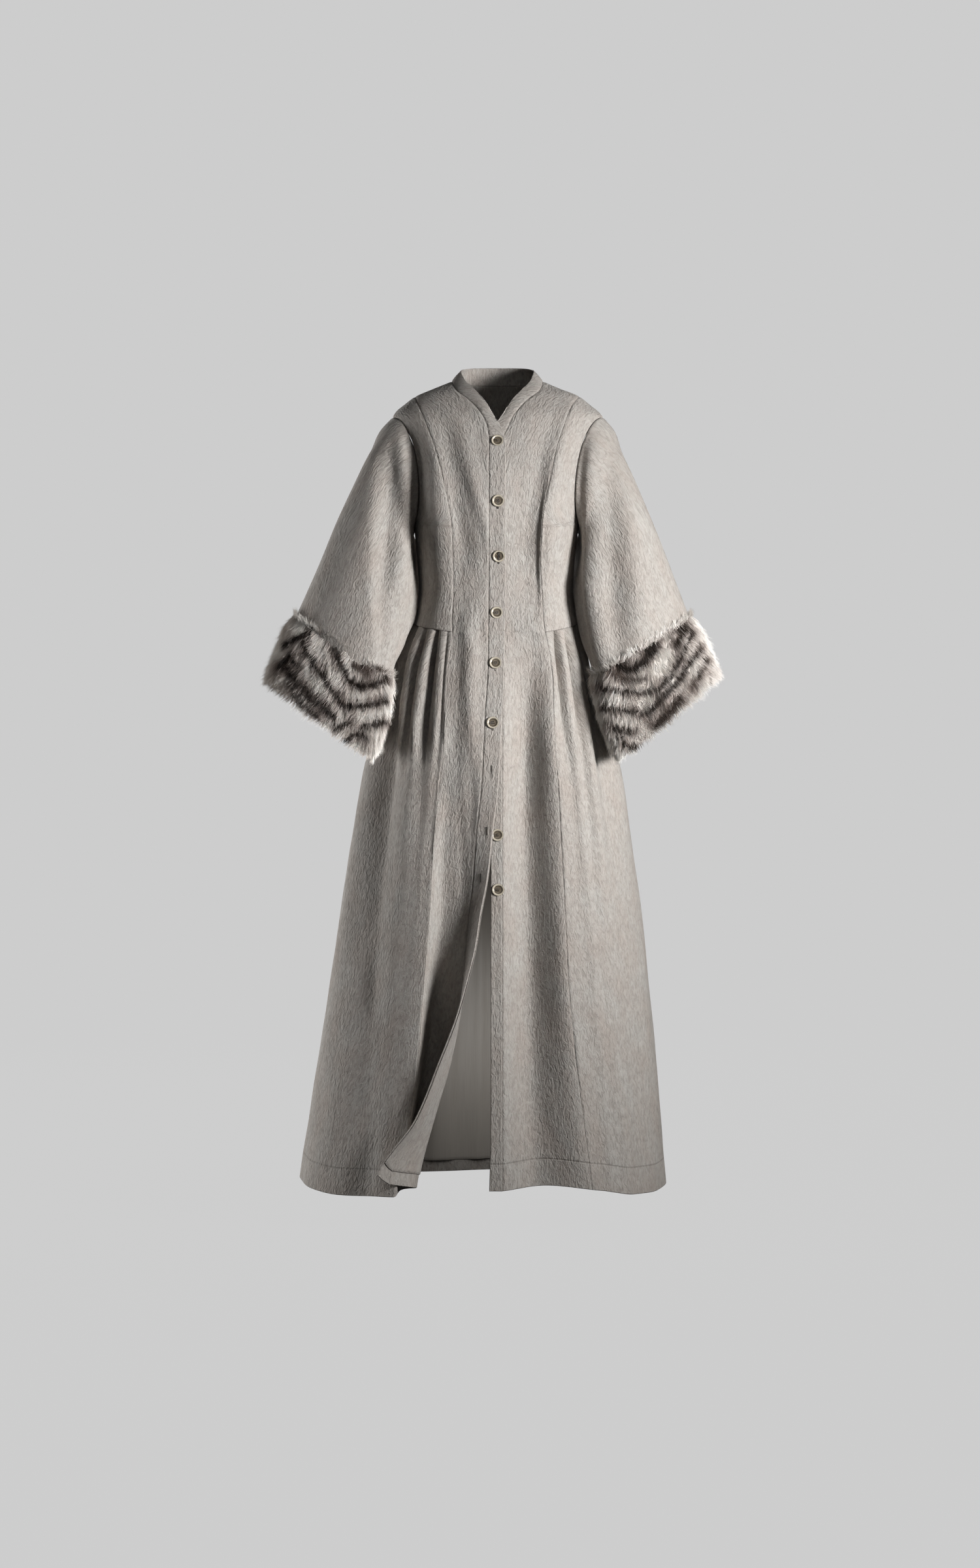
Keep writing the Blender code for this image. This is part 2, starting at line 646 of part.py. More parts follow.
def plan_curve(z, samples=48):
    """Plan of the right front at height z, from the first pleat's crest to the front edge."""
    start = cloth(princess_angle(RIGHT, z), z)[:2]
    before = cloth(princess_angle(RIGHT, z) - CREST_TURN, z)[:2]
    names = ("wall", "floor", "roll", "edge")
    points = [before, start] + [np.array([SWING[n + "_x"](z), SWING[n + "_y"](z)]) for n in names]
    points.append(2 * points[-1] - points[-2])
    line = []
    for k in range(1, len(points) - 2):
        p0, p1, p2, p3 = points[k - 1:k + 3]
        for t in np.linspace(0, 1, samples // 4, endpoint=False):
            line.append(0.5 * (2 * p1 + (p2 - p0) * t + (2 * p0 - 5 * p1 + 4 * p2 - p3) * t ** 2
                               + (3 * p1 - p0 - 3 * p2 + p3) * t ** 3))
    line.append(points[-2])
    line = np.array(line)
    arc = np.concatenate([[0], np.cumsum(np.linalg.norm(np.diff(line, axis=0), axis=1))])
    return line, arc


def right_front_row(z_of, shares):
    """Points across the right front below the waist. A share up to 1 spans the panel from the
    princess seam to the placket, and from 1 to 2 it spans the placket to the front edge."""
    row = []
    for share in shares:
        z = z_of(share)
        if share <= 1:
            angle = mix(princess_angle(RIGHT, z), angle_of(OVER_SEAM_X(z), z), share)
        else:
            angle = angle_of(mix(OVER_SEAM_X(z), OVER_EDGE_X(z), share - 1), z)
        closed = outline(angle, z)
        swung = ease(SWING_FROM, SWING_FULL, z)
        if swung > 0:
            line, arc = plan_curve(z)
            seam = arc[-1] - PLACKET
            at = share * seam if share <= 1 else seam + (share - 1) * PLACKET
            opened = np.array([np.interp(at, arc, line[:, 0]), np.interp(at, arc, line[:, 1]), z])
            closed = mix(closed, opened, swung)
        row.append(closed)
    return row


def right_hem(share):
    """Height of the right front's hem: it rises towards the edge, which is pulled aside."""
    across = min(share, 1.0) * LIFT_TO_PLACKET + max(share - 1.0, 0.0) * (1 - LIFT_TO_PLACKET)
    return HEM_Z[RIGHT](abs(princess_angle(RIGHT, HEM_LEVEL))) + EDGE_LIFT * across ** LIFT_BEND


def centre_front(side):
    """A whole centre front, shoulder to hem. Column 0 is the princess seam."""
    grid = bodice_front(side)
    shares = np.linspace(0, 1, SHOULDER_COLUMNS + 1)
    for down in SKIRT_ROWS[1:]:
        if side == RIGHT:
            row = right_front_row(lambda s: mix(WAIST_FRONT, right_hem(s), down), shares)
        else:
            row = []
            for share in shares:
                hem = HEM_Z[LEFT](mix(princess_angle(LEFT, HEM_LEVEL), PLACKET_ANGLE, share))
                z = mix(WAIST_FRONT, hem, down)
                angle = mix(princess_angle(LEFT, z), angle_of(UNDER_SEAM_X(z), z), share)
                row.append(cloth(angle, z))
        grid.append(row)
    return np.array(grid)


def over_placket():
    """The buttonhole strip on the right front. Column 0 is its seam, column 2 the front edge."""
    shares = (1.0, 1.5, 2.0)
    grid = []
    for angle, z in inner_front_rows(RIGHT)[NECK_ROWS:]:
        xs = [mix(OVER_SEAM_X(z), OVER_EDGE_X(z), share - 1) for share in shares]
        grid.append([bodice_point_right(x, z) for x in xs])
    for down in SKIRT_ROWS[1:]:
        grid.append(right_front_row(lambda s: mix(WAIST_FRONT, right_hem(s), down), shares))
    return np.array(grid)


def bodice_point_right(x, z):
    """A point of the right front near the centre, also where it laps past it to the left."""
    return outline(angle_of(x, z), z)


def under_placket():
    """The button strip on the left front, which lies behind the right one."""
    grid = []
    heights = [z for angle, z in inner_front_rows(LEFT)[NECK_ROWS:]]
    hem = HEM_Z[LEFT](PLACKET_ANGLE)
    heights += [mix(WAIST_FRONT, hem, down) for down in SKIRT_ROWS[1:]]
    for z in heights:
        xs = [mix(UNDER_SEAM_X(z), UNDER_EDGE_X(z), share) for share in (0.0, 0.5, 1.0)]
        grid.append([outline(angle_of(x, z), z, LAP) for x in xs])
    return np.array(grid)


def centre_back():
    """The back, neckline to hem, between the back princess seams. Column 0 is on the right. Along
    the shoulders the inner columns fan out, ready for the seams that start there."""
    rows = front_rows(WAIST_BACK)[1:]
    widest = -back_princess_angle(RIGHT, rows[0]) - 90.0
    edges = []
    for down in np.linspace(0, 1, SHOULDER_COLUMNS + 1):
        edges.append((90.0, 90.0, mix(NECKLINE[0].z, PRINCESS[0].z, down), widest * down))
    for z in rows:
        edges.append((-back_princess_angle(RIGHT, z), back_princess_angle(LEFT, z), z, 0.0))
    shares = np.linspace(0, 1, BACK_COLUMNS + 1)
    grid = []
    for right, left, z, fan in edges:
        row = []
        for share in shares:
            fanned = 0.0 if share in (0.0, 1.0) else fan
            turn = mix(right + fanned, 360 - left - fanned, share)
            angle = -turn if turn <= 180 else 360 - turn
            row.append(bodice_point(angle, z))
        grid.append(row)
    for down in SKIRT_ROWS[1:]:
        row = []
        for share in shares:
            hem_angle = mix(BACK_SEAM_ANGLE, 180, 1 - abs(2 * share - 1))
            hem = HEM_Z[RIGHT if share < 0.5 else LEFT](hem_angle)
            z = mix(WAIST_BACK, hem, down)
            right = -back_princess_angle(RIGHT, z)
            turn = mix(right, 360 - back_princess_angle(LEFT, z), share)
            row.append(cloth(-turn if turn <= 180 else 360 - turn, z))
        grid.append(row)
    return np.array(grid)


def skirt_columns(side, z):
    """Angles of the side skirt's columns at height z: on each fold line and between them."""
    lines = [angle for angle, depth in fold_lines(side, z)]
    first = 1 + len(FRONT_FOLDS[side])
    lines = lines[first:-2]
    crest = len(SIDE_FOLDS[side])
    pieces = [2] * crest + [3, 4, 3] + [2] * (len(lines) - crest - 4)
    angles = [lines[0]]
    for a, b, count in zip(lines, lines[1:], pieces):
        angles += [mix(a, b, part / count) for part in range(1, count + 1)]
    return angles


def side_skirt(side):
    """The pleated skirt from the front princess seam round the side to the back one."""
    count = len(skirt_columns(side, WAIST_FRONT))
    tops = waist_heights(side, count)
    grid = []
    for down in SKIRT_ROWS:
        row = []
        for column in range(count):
            hem = HEM_Z[side](skirt_columns(side, HEM_LEVEL)[column])
            if column == count - 1:
                hem = HEM_Z[side](BACK_SEAM_ANGLE)
            z = mix(tops[column], hem, down)
            row.append(cloth(side * skirt_columns(side, z)[column], z))
        grid.append(row)
    return np.array(grid)


def waist_heights(side, count):
    """Height of the waist seam at each column of the side skirt."""
    angles = skirt_columns(side, WAIST_SIDE)
    heights = []
    for angle in angles:
        if angle <= 90:
            heights.append(mix(WAIST_FRONT, WAIST_SIDE, (angle - angles[0]) / (90 - angles[0])))
        else:
            heights.append(mix(WAIST_SIDE, WAIST_BACK, (angle - 90) / (angles[-1] - 90)))
    return heights


def sleeve_section(side, step):
    """A sleeve section's values at a step between the rows of its table."""
    rows = SLEEVES[side]
    steps = list(range(1, len(rows) + 1))
    return Section(*[Curve(steps, [getattr(row, name) for row in rows])(step)
                     for name in Section._fields])


def sleeve_ring(side, step):
    """Points round the sleeve at one step, from the outer line over the front."""
    here = sleeve_section(side, step)
    above, below = sleeve_section(side, step - 0.5), sleeve_section(side, step + 0.5)
    outer, inner = np.array(here[0:3]), np.array(here[3:6])
    centre, across = (outer + inner) / 2, (outer - inner) / 2
    down = (np.array(below[0:3]) + below[3:6]) / 2 - (np.array(above[0:3]) + above[3:6]) / 2
    forward = unit(np.cross(across, down))
    if forward[1] > 0:
        forward = -forward
    ring = []
    for k in range(2 * ARMHOLE_STEPS):
        turn = math.pi * k / ARMHOLE_STEPS
        deep = here.front if math.sin(turn) >= 0 else here.back
        deep *= 1 + SLEEVE_LENS * math.cos(turn)
        lean = -side * here.lean * min(math.sin(turn), 0.0) ** 2
        point = centre + across * math.cos(turn) + forward * deep * math.sin(turn)
        room = mix(SLEEVE_ROOM, CUFF_ROOM, ease(CUFF_STEPS[0] - 1.5, CUFF_STEPS[0], step))
        ring.append(beside_body(point + np.array([lean, 0, 0]), room))
    return ring


def beside_body(point, room):
    """A sleeve point, moved out as far as it needs to rest on the side of the body."""
    z = point[2]
    if z > UNDERARM_Z:
        return point
    half = HALF[RIGHT if point[0] < 0 else LEFT](z) + room
    deep = (FRONT_DEPTH if point[1] < 0 else BACK_DEPTH)(z) + room
    reach = math.hypot(point[0] / half, point[1] / deep)
    if reach < 1:
        return np.array([point[0] / reach, point[1] / reach, z])
    return point


def grid_normals(grid, wrap=False):
    """Outward direction at each point of a grid, from its neighbours."""
    if wrap:
        across = np.roll(grid, -1, axis=1) - np.roll(grid, 1, axis=1)
    else:
        across = np.gradient(grid, axis=1)
    down = np.gradient(grid, axis=0)
    normals = np.cross(across, down)
    normals /= np.maximum(np.linalg.norm(normals, axis=2, keepdims=True), 1e-12)
    return normals


class Panel:
    """A cut piece: the grid of its middle surface, and the outward direction at each point."""

    def __init__(self, name, grid, thickness, finish, outward, wrap=False):
        self.name = name
        self.grid = np.asarray(grid, float)
        self.thickness = thickness
        self.finish = finish
        self.wrap = wrap
        self.normals = grid_normals(self.grid, wrap)
        self.turned = outward(self.grid, self.normals) < 0
        if self.turned:
            self.normals = -self.normals

    def border(self):
        """Row and column of every point on the panel's outer edge."""
        rows, columns = self.grid.shape[:2]
        places = [(r, c) for r in (0, rows - 1) for c in range(columns)]
        if not self.wrap:
            places += [(r, c) for c in (0, columns - 1) for r in range(1, rows - 1)]
        return places


def away_from_axis(grid, normals):
    """Positive when the normals of a body panel point away from the coat's upright axis."""
    return float(np.sum(normals[..., :2] * grid[..., :2]))


def away_from_middle(grid, normals):
    """Positive when the normals of a tube point away from its own middle line."""
    return float(np.sum(normals * (grid - grid.mean(axis=1, keepdims=True))))


def body_panel(name, grid):
    """A panel of the coat's body, with the soft folds that cross it."""
    return Panel(name, draped_grid(grid), WOOL, WOOL_FINISH, away_from_axis)


def share_normals(panels):
    """Gives panels that meet at a point one common direction there, so that their edges face."""
    totals = {}
    for panel in panels:
        for place in panel.border():
            key = tuple(np.round(panel.grid[place], 2))
            totals[key] = totals.get(key, 0) + panel.normals[place]
    for panel in panels:
        for place in panel.border():
            key = tuple(np.round(panel.grid[place], 2))
            panel.normals[place] = unit(totals[key])


def level_row(panel, row):
    """Turns a row's directions level, for a seam whose two edges have different points."""
    panel.normals[row, :, 2] = 0
    for column in range(panel.grid.shape[1]):
        panel.normals[row, column] = unit(panel.normals[row, column])


def pull_in(panel, gap=SEAM, top=None, bottom=None):
    """Moves each edge of a panel inwards by half a seam gap, square to the edge."""
    grid = panel.grid
    moved = grid.copy()
    rows, columns = grid.shape[:2]
    if not panel.wrap:
        for column, beside in ((0, 1), (columns - 1, columns - 2)):
            along = np.gradient(grid[:, column], axis=0)
            moved[:, column] += square_step(grid[:, beside] - grid[:, column], along, gap / 2)
    for row, beside, amount in ((0, 1, top), (rows - 1, rows - 2, bottom)):
        along = np.gradient(grid[row], axis=0)
        half = gap / 2 if amount is None else amount
        moved[row] += square_step(grid[beside] - grid[row], along, half)
    panel.grid = moved


def square_step(steps, along, amount):
    """Steps of a set length in the given directions, made square to an edge."""
    along = along / np.maximum(np.linalg.norm(along, axis=1, keepdims=True), 1e-12)
    square = steps - along * np.sum(steps * along, axis=1, keepdims=True)
    return amount * square / np.maximum(np.linalg.norm(square, axis=1, keepdims=True), 1e-12)


def face_slant(panel):
    """How much longer a step along each shared direction must be to keep the wall's thickness."""
    grid, wrap = panel.grid, panel.wrap
    rows, columns = grid.shape[:2]
    total = np.zeros((rows, columns))
    count = np.zeros((rows, columns))
    last = columns if wrap else columns - 1
    for r in range(rows - 1):
        for c in range(last):
            d = (c + 1) % columns
            corners = ((r, c), (r, d), (r + 1, d), (r + 1, c))
            flat = unit(np.cross(grid[r + 1, d] - grid[r, c], grid[r + 1, c] - grid[r, d]))
            for corner in corners:
                total[corner] += abs(float(flat @ panel.normals[corner]))
                count[corner] += 1
    return 1 / np.clip(total / count, LEAST_FACING, 1.0)


def wall(panel, outer, inner):
    """Builds the panel as a closed solid between two distances from its middle surface."""
    slant = face_slant(panel)[..., None]
    outside = panel.grid + panel.normals * slant * outer
    inside = panel.grid + panel.normals * slant * inner
    return solid(panel.name, outside, inside, panel.finish, panel.wrap, panel.turned)


def solid(name, outside, inside, finish, wrap, turned):
    """A closed mesh between two matching grids, with every square split the same way."""
    rows, columns = outside.shape[:2]
    mesh = bmesh.new()
    layers = []
    for grid in (outside, inside):
        layers.append([[mesh.verts.new(point * MM) for point in row] for row in grid])
    last = columns if wrap else columns - 1
    for layer, flip in ((layers[0], turned), (layers[1], not turned)):
        for r in range(rows - 1):
            for c in range(last):
                d = (c + 1) % columns
                corners = (layer[r][c], layer[r][d], layer[r + 1][d], layer[r + 1][c])
                add_square(mesh, corners, flip)
    for r, flip in ((0, not turned), (rows - 1, turned)):
        for c in range(last):
            d = (c + 1) % columns
            corners = (layers[0][r][c], layers[0][r][d], layers[1][r][d], layers[1][r][c])
            add_square(mesh, corners, flip)
    if not wrap:
        for c, flip in ((0, turned), (columns - 1, not turned)):
            for r in range(rows - 1):
                corners = (layers[0][r][c], layers[0][r + 1][c],
                           layers[1][r + 1][c], layers[1][r][c])
                add_square(mesh, corners, flip)
    return finish_object(name, mesh, finish)


def add_square(mesh, corners, flip):
    a, b, c, d = corners
    for triangle in ((a, b, c), (a, c, d)):
        mesh.faces.new(triangle if not flip else tuple(reversed(triangle)))


def finish_object(name, mesh, finish):
    """Turns a bmesh into a named object with its own material."""
    data = bpy.data.meshes.new(name)
    mesh.normal_update()
    mesh.to_mesh(data)
    mesh.free()
    data.shade_smooth()
    data.set_sharp_from_angle(angle=math.radians(50))
    material = bpy.data.materials.new(name)
    material.use_nodes = True
    shader = material.node_tree.nodes["Principled BSDF"]
    shader.inputs["Base Color"].default_value = (*finish.colour, 1.0)
    shader.inputs["Roughness"].default_value = finish.roughness
    data.materials.append(material)
    piece = bpy.data.objects.new(name, data)
    bpy.context.scene.collection.objects.link(piece)
    return piece


def collar_panel(front_right, front_left, back):
    """The stand band: its lower edge follows the neckline, its upper edge leans in to the neck."""
    lower, upper = [], []
    for row in range(NECK_ROWS, 0, -1):
        lower.append(front_right.grid[row, -1])
    lower += list(back.grid[0])
    for row in range(1, NECK_ROWS + 1):
        lower.append(front_left.grid[row, -1])
    top_right = bodice_point_right(OVER_EDGE_X(NECKLINE[-1].z), NECKLINE[-1].z)
    top_left = outline(angle_of(UNDER_EDGE_X(NECKLINE[-1].z), NECKLINE[-1].z), NECKLINE[-1].z, LAP)
    upper = [top_right]
    upper += [np.array(point) for point in reversed(COLLAR_FRONT[RIGHT])]
    curves = [Curve(range(len(COLLAR_BACK)), [point[axis] for point in COLLAR_BACK])
              for axis in range(3)]
    for share in np.linspace(0, len(COLLAR_BACK) - 1, BACK_COLUMNS + 1):
        upper.append(np.array([curve(share) for curve in curves]))
    for point in COLLAR_FRONT[LEFT]:
        behind = LAP * (1 - ease(LAP_FROM, LAP_TO, abs(point.x)))
        upper.append(np.array(point) + np.array([0, behind, 0]))
    upper.append(top_left)
    upper[0], upper[-1] = draped(upper[0]), draped(upper[-1])
    lower, upper = np.array(lower), np.array(upper)
    grid = np.array([upper, (lower + upper) / 2, lower])
    return Panel("collar", grid, WOOL, WOOL_FINISH, away_from_axis)


def button(name, centre, normal):
    """A turned button with a raised rim, its flat underside on the cloth."""
    mesh = bmesh.new()
    across = unit(np.cross(normal, (0, 0, 1)))
    up = np.cross(across, normal)
    rings = []
    for step in BUTTON_PROFILE:
        base = centre + normal * step.height
        if step.radius == 0:
            rings.append([mesh.verts.new(base * MM)])
            continue
        ring = []
        for k in range(BUTTON_SIDES):
            turn = 2 * math.pi * k / BUTTON_SIDES
            ring.append(mesh.verts.new(
                (base + (across * math.cos(turn) + up * math.sin(turn)) * step.radius) * MM))
        rings.append(ring)
    for below, above in zip(rings, rings[1:]):
        for k in range(BUTTON_SIDES):
            n = (k + 1) % BUTTON_SIDES
            if len(below) == 1:
                mesh.faces.new((below[0], above[k], above[n]))
            elif len(above) == 1:
                mesh.faces.new((below[k], above[0], below[n]))
            else:
                mesh.faces.new((below[k], above[k], above[n], below[n]))
    bmesh.ops.recalc_face_normals(mesh, faces=mesh.faces)
    return finish_object(name, mesh, HORN_FINISH)


def on_strip(panel, x, z):
    """The middle surface of a placket at x and z, and its direction there."""
    rows = panel.grid.shape[0]
    for r in range(rows - 1):
        top, bottom = panel.grid[r, :, 2].mean(), panel.grid[r + 1, :, 2].mean()
        if bottom <= z <= top:
            t = (z - top) / (bottom - top)
            line = mix(panel.grid[r], panel.grid[r + 1], t)
            order = np.argsort(line[:, 0])
            y = np.interp(x, line[order, 0], line[order, 1])
            down = unit(mix(panel.grid[r], panel.grid[r + 1], 1.0)[1] - panel.grid[r, 1])
            across = unit(line[order[-1]] - line[order[0]])
            return np.array([x, y, z]), unit(np.cross(across, -down) * -1)
    raise ValueError("no row of the placket holds this height")


def sleeve_panel(side, side_front, side_back):
    """The bell sleeve. Its head laps onto the outside of the armhole."""
    loop = [(side_front, step) for step in range(ARMHOLE_STEPS + 1)]
    loop += [(side_back, step) for step in range(ARMHOLE_STEPS - 1, 0, -1)]
    head = []
    for panel, step in loop:
        lap = WOOL + SEAM + UNDERARM_LAP * (step / ARMHOLE_STEPS) ** 4
        head.append(panel.grid[step, 0] + panel.normals[step, 0] * lap)
    rings = [sleeve_ring(side, step) for step in SLEEVE_STEPS]
    cap = []
    for (panel, step), start, below in zip(loop, head, rings[0]):
        rounding = CAP_EASE * math.cos(math.pi / 2 * step / ARMHOLE_STEPS)
        cap.append(mix(start, below, CAP_SHARE) + panel.normals[step, 0] * rounding)
    plain = Panel("plain", [head, cap] + rings, WOOL, WOOL_FINISH, away_from_middle, wrap=True)
    return Panel("sleeve_" + SIDE_NAMES[side], folded_sleeve(side, plain), WOOL, WOOL_FINISH,
                 away_from_middle, wrap=True)


def folded_sleeve(side, plain):
    """The sleeve's rings with the soft folds of its front."""
    steps = np.linalg.norm(np.diff(plain.grid, axis=0), axis=2)
    down = np.concatenate([np.zeros((1, plain.grid.shape[1])), np.cumsum(steps, axis=0)])
    folded = plain.grid.copy()
    for r, row in enumerate(plain.grid):
        for c, point in enumerate(row):
            rise = soft_rise(SLEEVE_FOLDS[side], SLEEVE_LEVELS, point[0], point[2])
            rise *= ease(0.05, 0.5, -plain.normals[r, c, 1]) * ease(0, SLEEVE_FADE, down[r, c])
            folded[r, c] = point + plain.normals[r, c] * rise
    return folded


def build_cuff(side, sleeve):
    """The fur band, turned back round the sleeve's hem and as thick as its pile."""
    first = len(sleeve.grid) - len(CUFF_STEPS)
    grid = list(sleeve.grid[first:])
    normals = list(sleeve.normals[first:])
    below = unit(np.mean(grid[-1] - grid[-2], axis=0))
    grid.append(grid[-1] + below * CUFF_OVERHANG)
    normals.append(normals[-1])
    grid, normals = np.array(grid), np.array(normals)
    slant = face_slant(sleeve)[first:]
    slant = np.concatenate([slant, slant[-1:]])[..., None]
    near = WOOL / 2 + LAYER
    pile = np.array(CUFF_PILE, float)[:, None, None]
    return solid("cuff_" + SIDE_NAMES[side], grid + normals * slant * (near + pile),
                 grid + normals * slant * near, FUR_FINISH, True, sleeve.turned)


def build_facing(front, placket):
    """The self facing inside the right front's edge, where the edge rolls open."""
    start = len(front.grid) - len(placket.grid)
    first = start + len(placket.grid) - len(SKIRT_ROWS) + FACING_FROM
    grid = np.concatenate([front.grid[first:, -FACING_COLUMNS:], placket.grid[first - start:, 1:]], axis=1)
    normals = np.concatenate(
        [front.normals[first:, -FACING_COLUMNS:], placket.normals[first - start:, 1:]], axis=1)
    panel = Panel("facing_right", grid, FACING, WOOL_FINISH, away_from_axis)
    panel.normals = normals
    panel.turned = front.turned
    middle = -(WOOL / 2 + LAYER + FACING / 2)
    return wall(panel, middle + FACING / 2, middle - FACING / 2)


def build_lining(back):
    """The satin lining of the centre back: sewn in along its edges, in soft folds between."""
    first = len(back.grid) - len(SKIRT_ROWS) + LINING_FROM
    grid = back.grid[first:-1]
    normals = back.normals[first:-1]
    slant = face_slant(back)[first:-1][..., None]
    near = WOOL / 2 + LAYER
    rows, columns = grid.shape[:2]
    depth = np.zeros((rows, columns, 1))
    for r in range(rows):
        fall = math.sin(math.pi / 2 * min(r / 3, 1))
        for c in range(1, columns - 1):
            wave = 0.6 + 0.4 * math.cos(math.pi * c)
            depth[r, c, 0] = LINING_FOLDS * fall * wave
    outside = grid - normals * slant * (near + depth)
    inside = grid - normals * slant * (near + depth + SATIN)
    return solid("back_lining", outside, inside, SATIN_FINISH, False, back.turned)


def clear_scene():
    for piece in list(bpy.data.objects):
        bpy.data.objects.remove(piece)


def main():
    clear_scene()
    fronts, side_fronts, side_backs, skirts = {}, {}, {}, {}
    for side, name in SIDE_NAMES.items():
        fronts[side] = body_panel("centre_front_" + name, centre_front(side))
        side_fronts[side] = body_panel("side_front_" + name, side_panel(side, False))
        side_backs[side] = body_panel("side_back_" + name, side_panel(side, True))
        skirts[side] = body_panel("side_skirt_" + name, side_skirt(side))
    back = body_panel("centre_back", centre_back())
    plackets = {
        RIGHT: body_panel("placket_right", over_placket()),
        LEFT: body_panel("placket_left", under_placket()),
    }
    collar = collar_panel(fronts[RIGHT], fronts[LEFT], back)
    groups = [fronts, side_fronts, side_backs, skirts, plackets]
    body = [panel for group in groups for panel in group.values()] + [back, collar]
    share_normals(body)
    for group, row in ((side_fronts, -1), (side_backs, -1), (skirts, 0)):
        for panel in group.values():
            level_row(panel, row)

    sleeves = {side: sleeve_panel(side, side_fronts[side], side_backs[side])
               for side in SIDE_NAMES}
    build_facing(fronts[RIGHT], plackets[RIGHT])
    build_lining(back)

    for panel in body:
        is_bodice_side = panel.name.startswith(("side_front", "side_back"))
        is_skirt = panel.name.startswith("side_skirt")
        pull_in(panel,
                top=WAIST_SEAM / 2 if is_skirt else None,
                bottom=WAIST_SEAM / 2 if is_bodice_side else None)
        wall(panel, panel.thickness / 2, -panel.thickness / 2)
    for side, sleeve in sleeves.items():
        wall(sleeve, WOOL / 2, -WOOL / 2)
        build_cuff(side, sleeve)

    for number, place in enumerate(BUTTONS, start=1):
        strip = plackets[RIGHT if place.over else LEFT]
        point, normal = on_strip(strip, place.x, place.z)
        if normal[1] > 0:
            normal = -normal
        button(f"button_{number}", point + normal * (WOOL / 2 + BUTTON_REST), normal)


main()
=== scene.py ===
"""A floor-length wool coat with a stand collar, pleated side skirts and fur-cuffed bell sleeves.

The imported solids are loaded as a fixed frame. Each cut piece is then made again over its solid as
a fine sheet of cloth, with the same form, and is given its folds, seams, pile and stitching.
Tables are in millimetres and degrees round from centre front. +Z is up and the front faces -Y.
"""

import logging
import math
from dataclasses import dataclass, field
from enum import Enum
from typing import Callable, Optional, Sequence

import bpy
import numpy as np
from mathutils import Matrix, Vector

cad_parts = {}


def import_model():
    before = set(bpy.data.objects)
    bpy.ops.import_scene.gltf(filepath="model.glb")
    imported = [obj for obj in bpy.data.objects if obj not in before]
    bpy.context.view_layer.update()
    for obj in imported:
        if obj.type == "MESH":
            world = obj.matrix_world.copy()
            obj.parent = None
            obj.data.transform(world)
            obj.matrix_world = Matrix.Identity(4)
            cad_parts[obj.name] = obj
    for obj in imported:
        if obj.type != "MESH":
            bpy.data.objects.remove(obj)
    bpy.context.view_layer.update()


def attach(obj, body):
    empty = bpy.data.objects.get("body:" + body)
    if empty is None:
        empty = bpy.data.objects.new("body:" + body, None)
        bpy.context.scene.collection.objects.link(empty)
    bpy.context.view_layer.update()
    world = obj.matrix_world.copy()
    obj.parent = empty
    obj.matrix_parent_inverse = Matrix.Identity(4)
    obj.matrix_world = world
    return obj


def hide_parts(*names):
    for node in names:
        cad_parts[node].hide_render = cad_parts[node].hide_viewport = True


MM = 0.001
LOG = logging.getLogger("coat")
Points = np.ndarray


class Side(Enum):
    """A side of the wearer, with the sign of x on it."""

    RIGHT = -1
    LEFT = 1

    @property
    def label(self) -> str:
        """The side's name as it stands in the names of the nodes."""
        return self.name.lower()


# Horizontal sections of the coat round its crests: height, half widths and depths
RINGS = (
    (9, 83, 81, 20, 66), (-5, 117, 113, 38, 73), (-19, 149, 147, 54, 78), (-33, 168, 165, 66, 83),
    (-47, 184, 182, 77, 87), (-57, 189, 189, 84, 90), (-81, 183, 183, 94, 95),
    (-100, 175, 175, 101, 98), (-123, 167, 167, 110, 101), (-166, 160, 159, 127, 104),
    (-210, 155, 152, 137, 104), (-245, 151, 146, 136, 101), (-319, 144, 137, 114, 90),
    (-366, 141.5, 134.5, 106, 86), (-399, 147, 139, 107, 89), (-424, 152, 145, 112, 96),
    (-450, 168, 152, 119, 104), (-481, 184, 160, 128, 112), (-540, 200, 172, 141, 126),
    (-600, 216, 192, 150, 136), (-688, 240, 220, 162, 147), (-835, 266, 242, 177, 162),
    (-1071, 301, 271, 200, 187), (-1307, 338, 292, 218, 206), (-1445, 359, 303, 227, 216),
)
SQUARENESS = 0.025
# Front princess seams, which run on down the skirt: height, x on the right and on the left
PRINCESS = (
    (-19, 149, 147), (-42, 141, 131), (-74, 128, 119), (-116, 113, 105), (-178, 97, 92),
    (-216, 89, 83), (-262, 82, 78), (-325, 80, 75.5), (-369, 79, 78), (-427, 82, 81),
    (-447, 81, 83.5), (-504, 88, 94), (-542, 91, 97), (-601, 94, 98), (-658, 97, 100),
    (-717, 104, 105), (-832, 115, 112), (-947, 121, 117), (-1061, 131, 122), (-1175, 139, 133),
    (-1278, 150, 145), (-1345, 162, 154), (-1445, 184, 166),
)
# Back princess seams: height and share of the half width
BACK_PRINCESS = (
    (-19, 1.0), (-60, 0.70), (-120, 0.62), (-220, 0.57), (-366, 0.52), (-432, 0.50),
    (-600, 0.46), (-1445, 0.52),
)
# Neckline on each front: height, x on the right and on the left
NECKLINE = (
    (9, 83, 81), (-9, 75.5, 75.5), (-28, 54, 54), (-48, 35.5, 36), (-66, 24.6, 24.5),
    (-81, 19, 18), (-100, 15.8, 8.5),
)
# Upper edge of the stand collar, from the bottom of the V on the right round to the left
COLLAR_EDGE = {
    Side.RIGHT: ((3, -91.5, -76), (-8, -83, -57), (-21, -70, -34), (-42, -49, -9), (-59, -25, 10)),
    Side.LEFT: ((58, -25, 9), (42, -48, -10), (22, -69, -33), (9, -82, -55), (-4, -91.5, -76)),
}
COLLAR_BACK = (
    (-66, 2, 28), (-57, 31, 36), (-34, 52, 40), (0, 60, 41), (34, 52, 40), (56, 31, 36), (64, 2, 28),
)
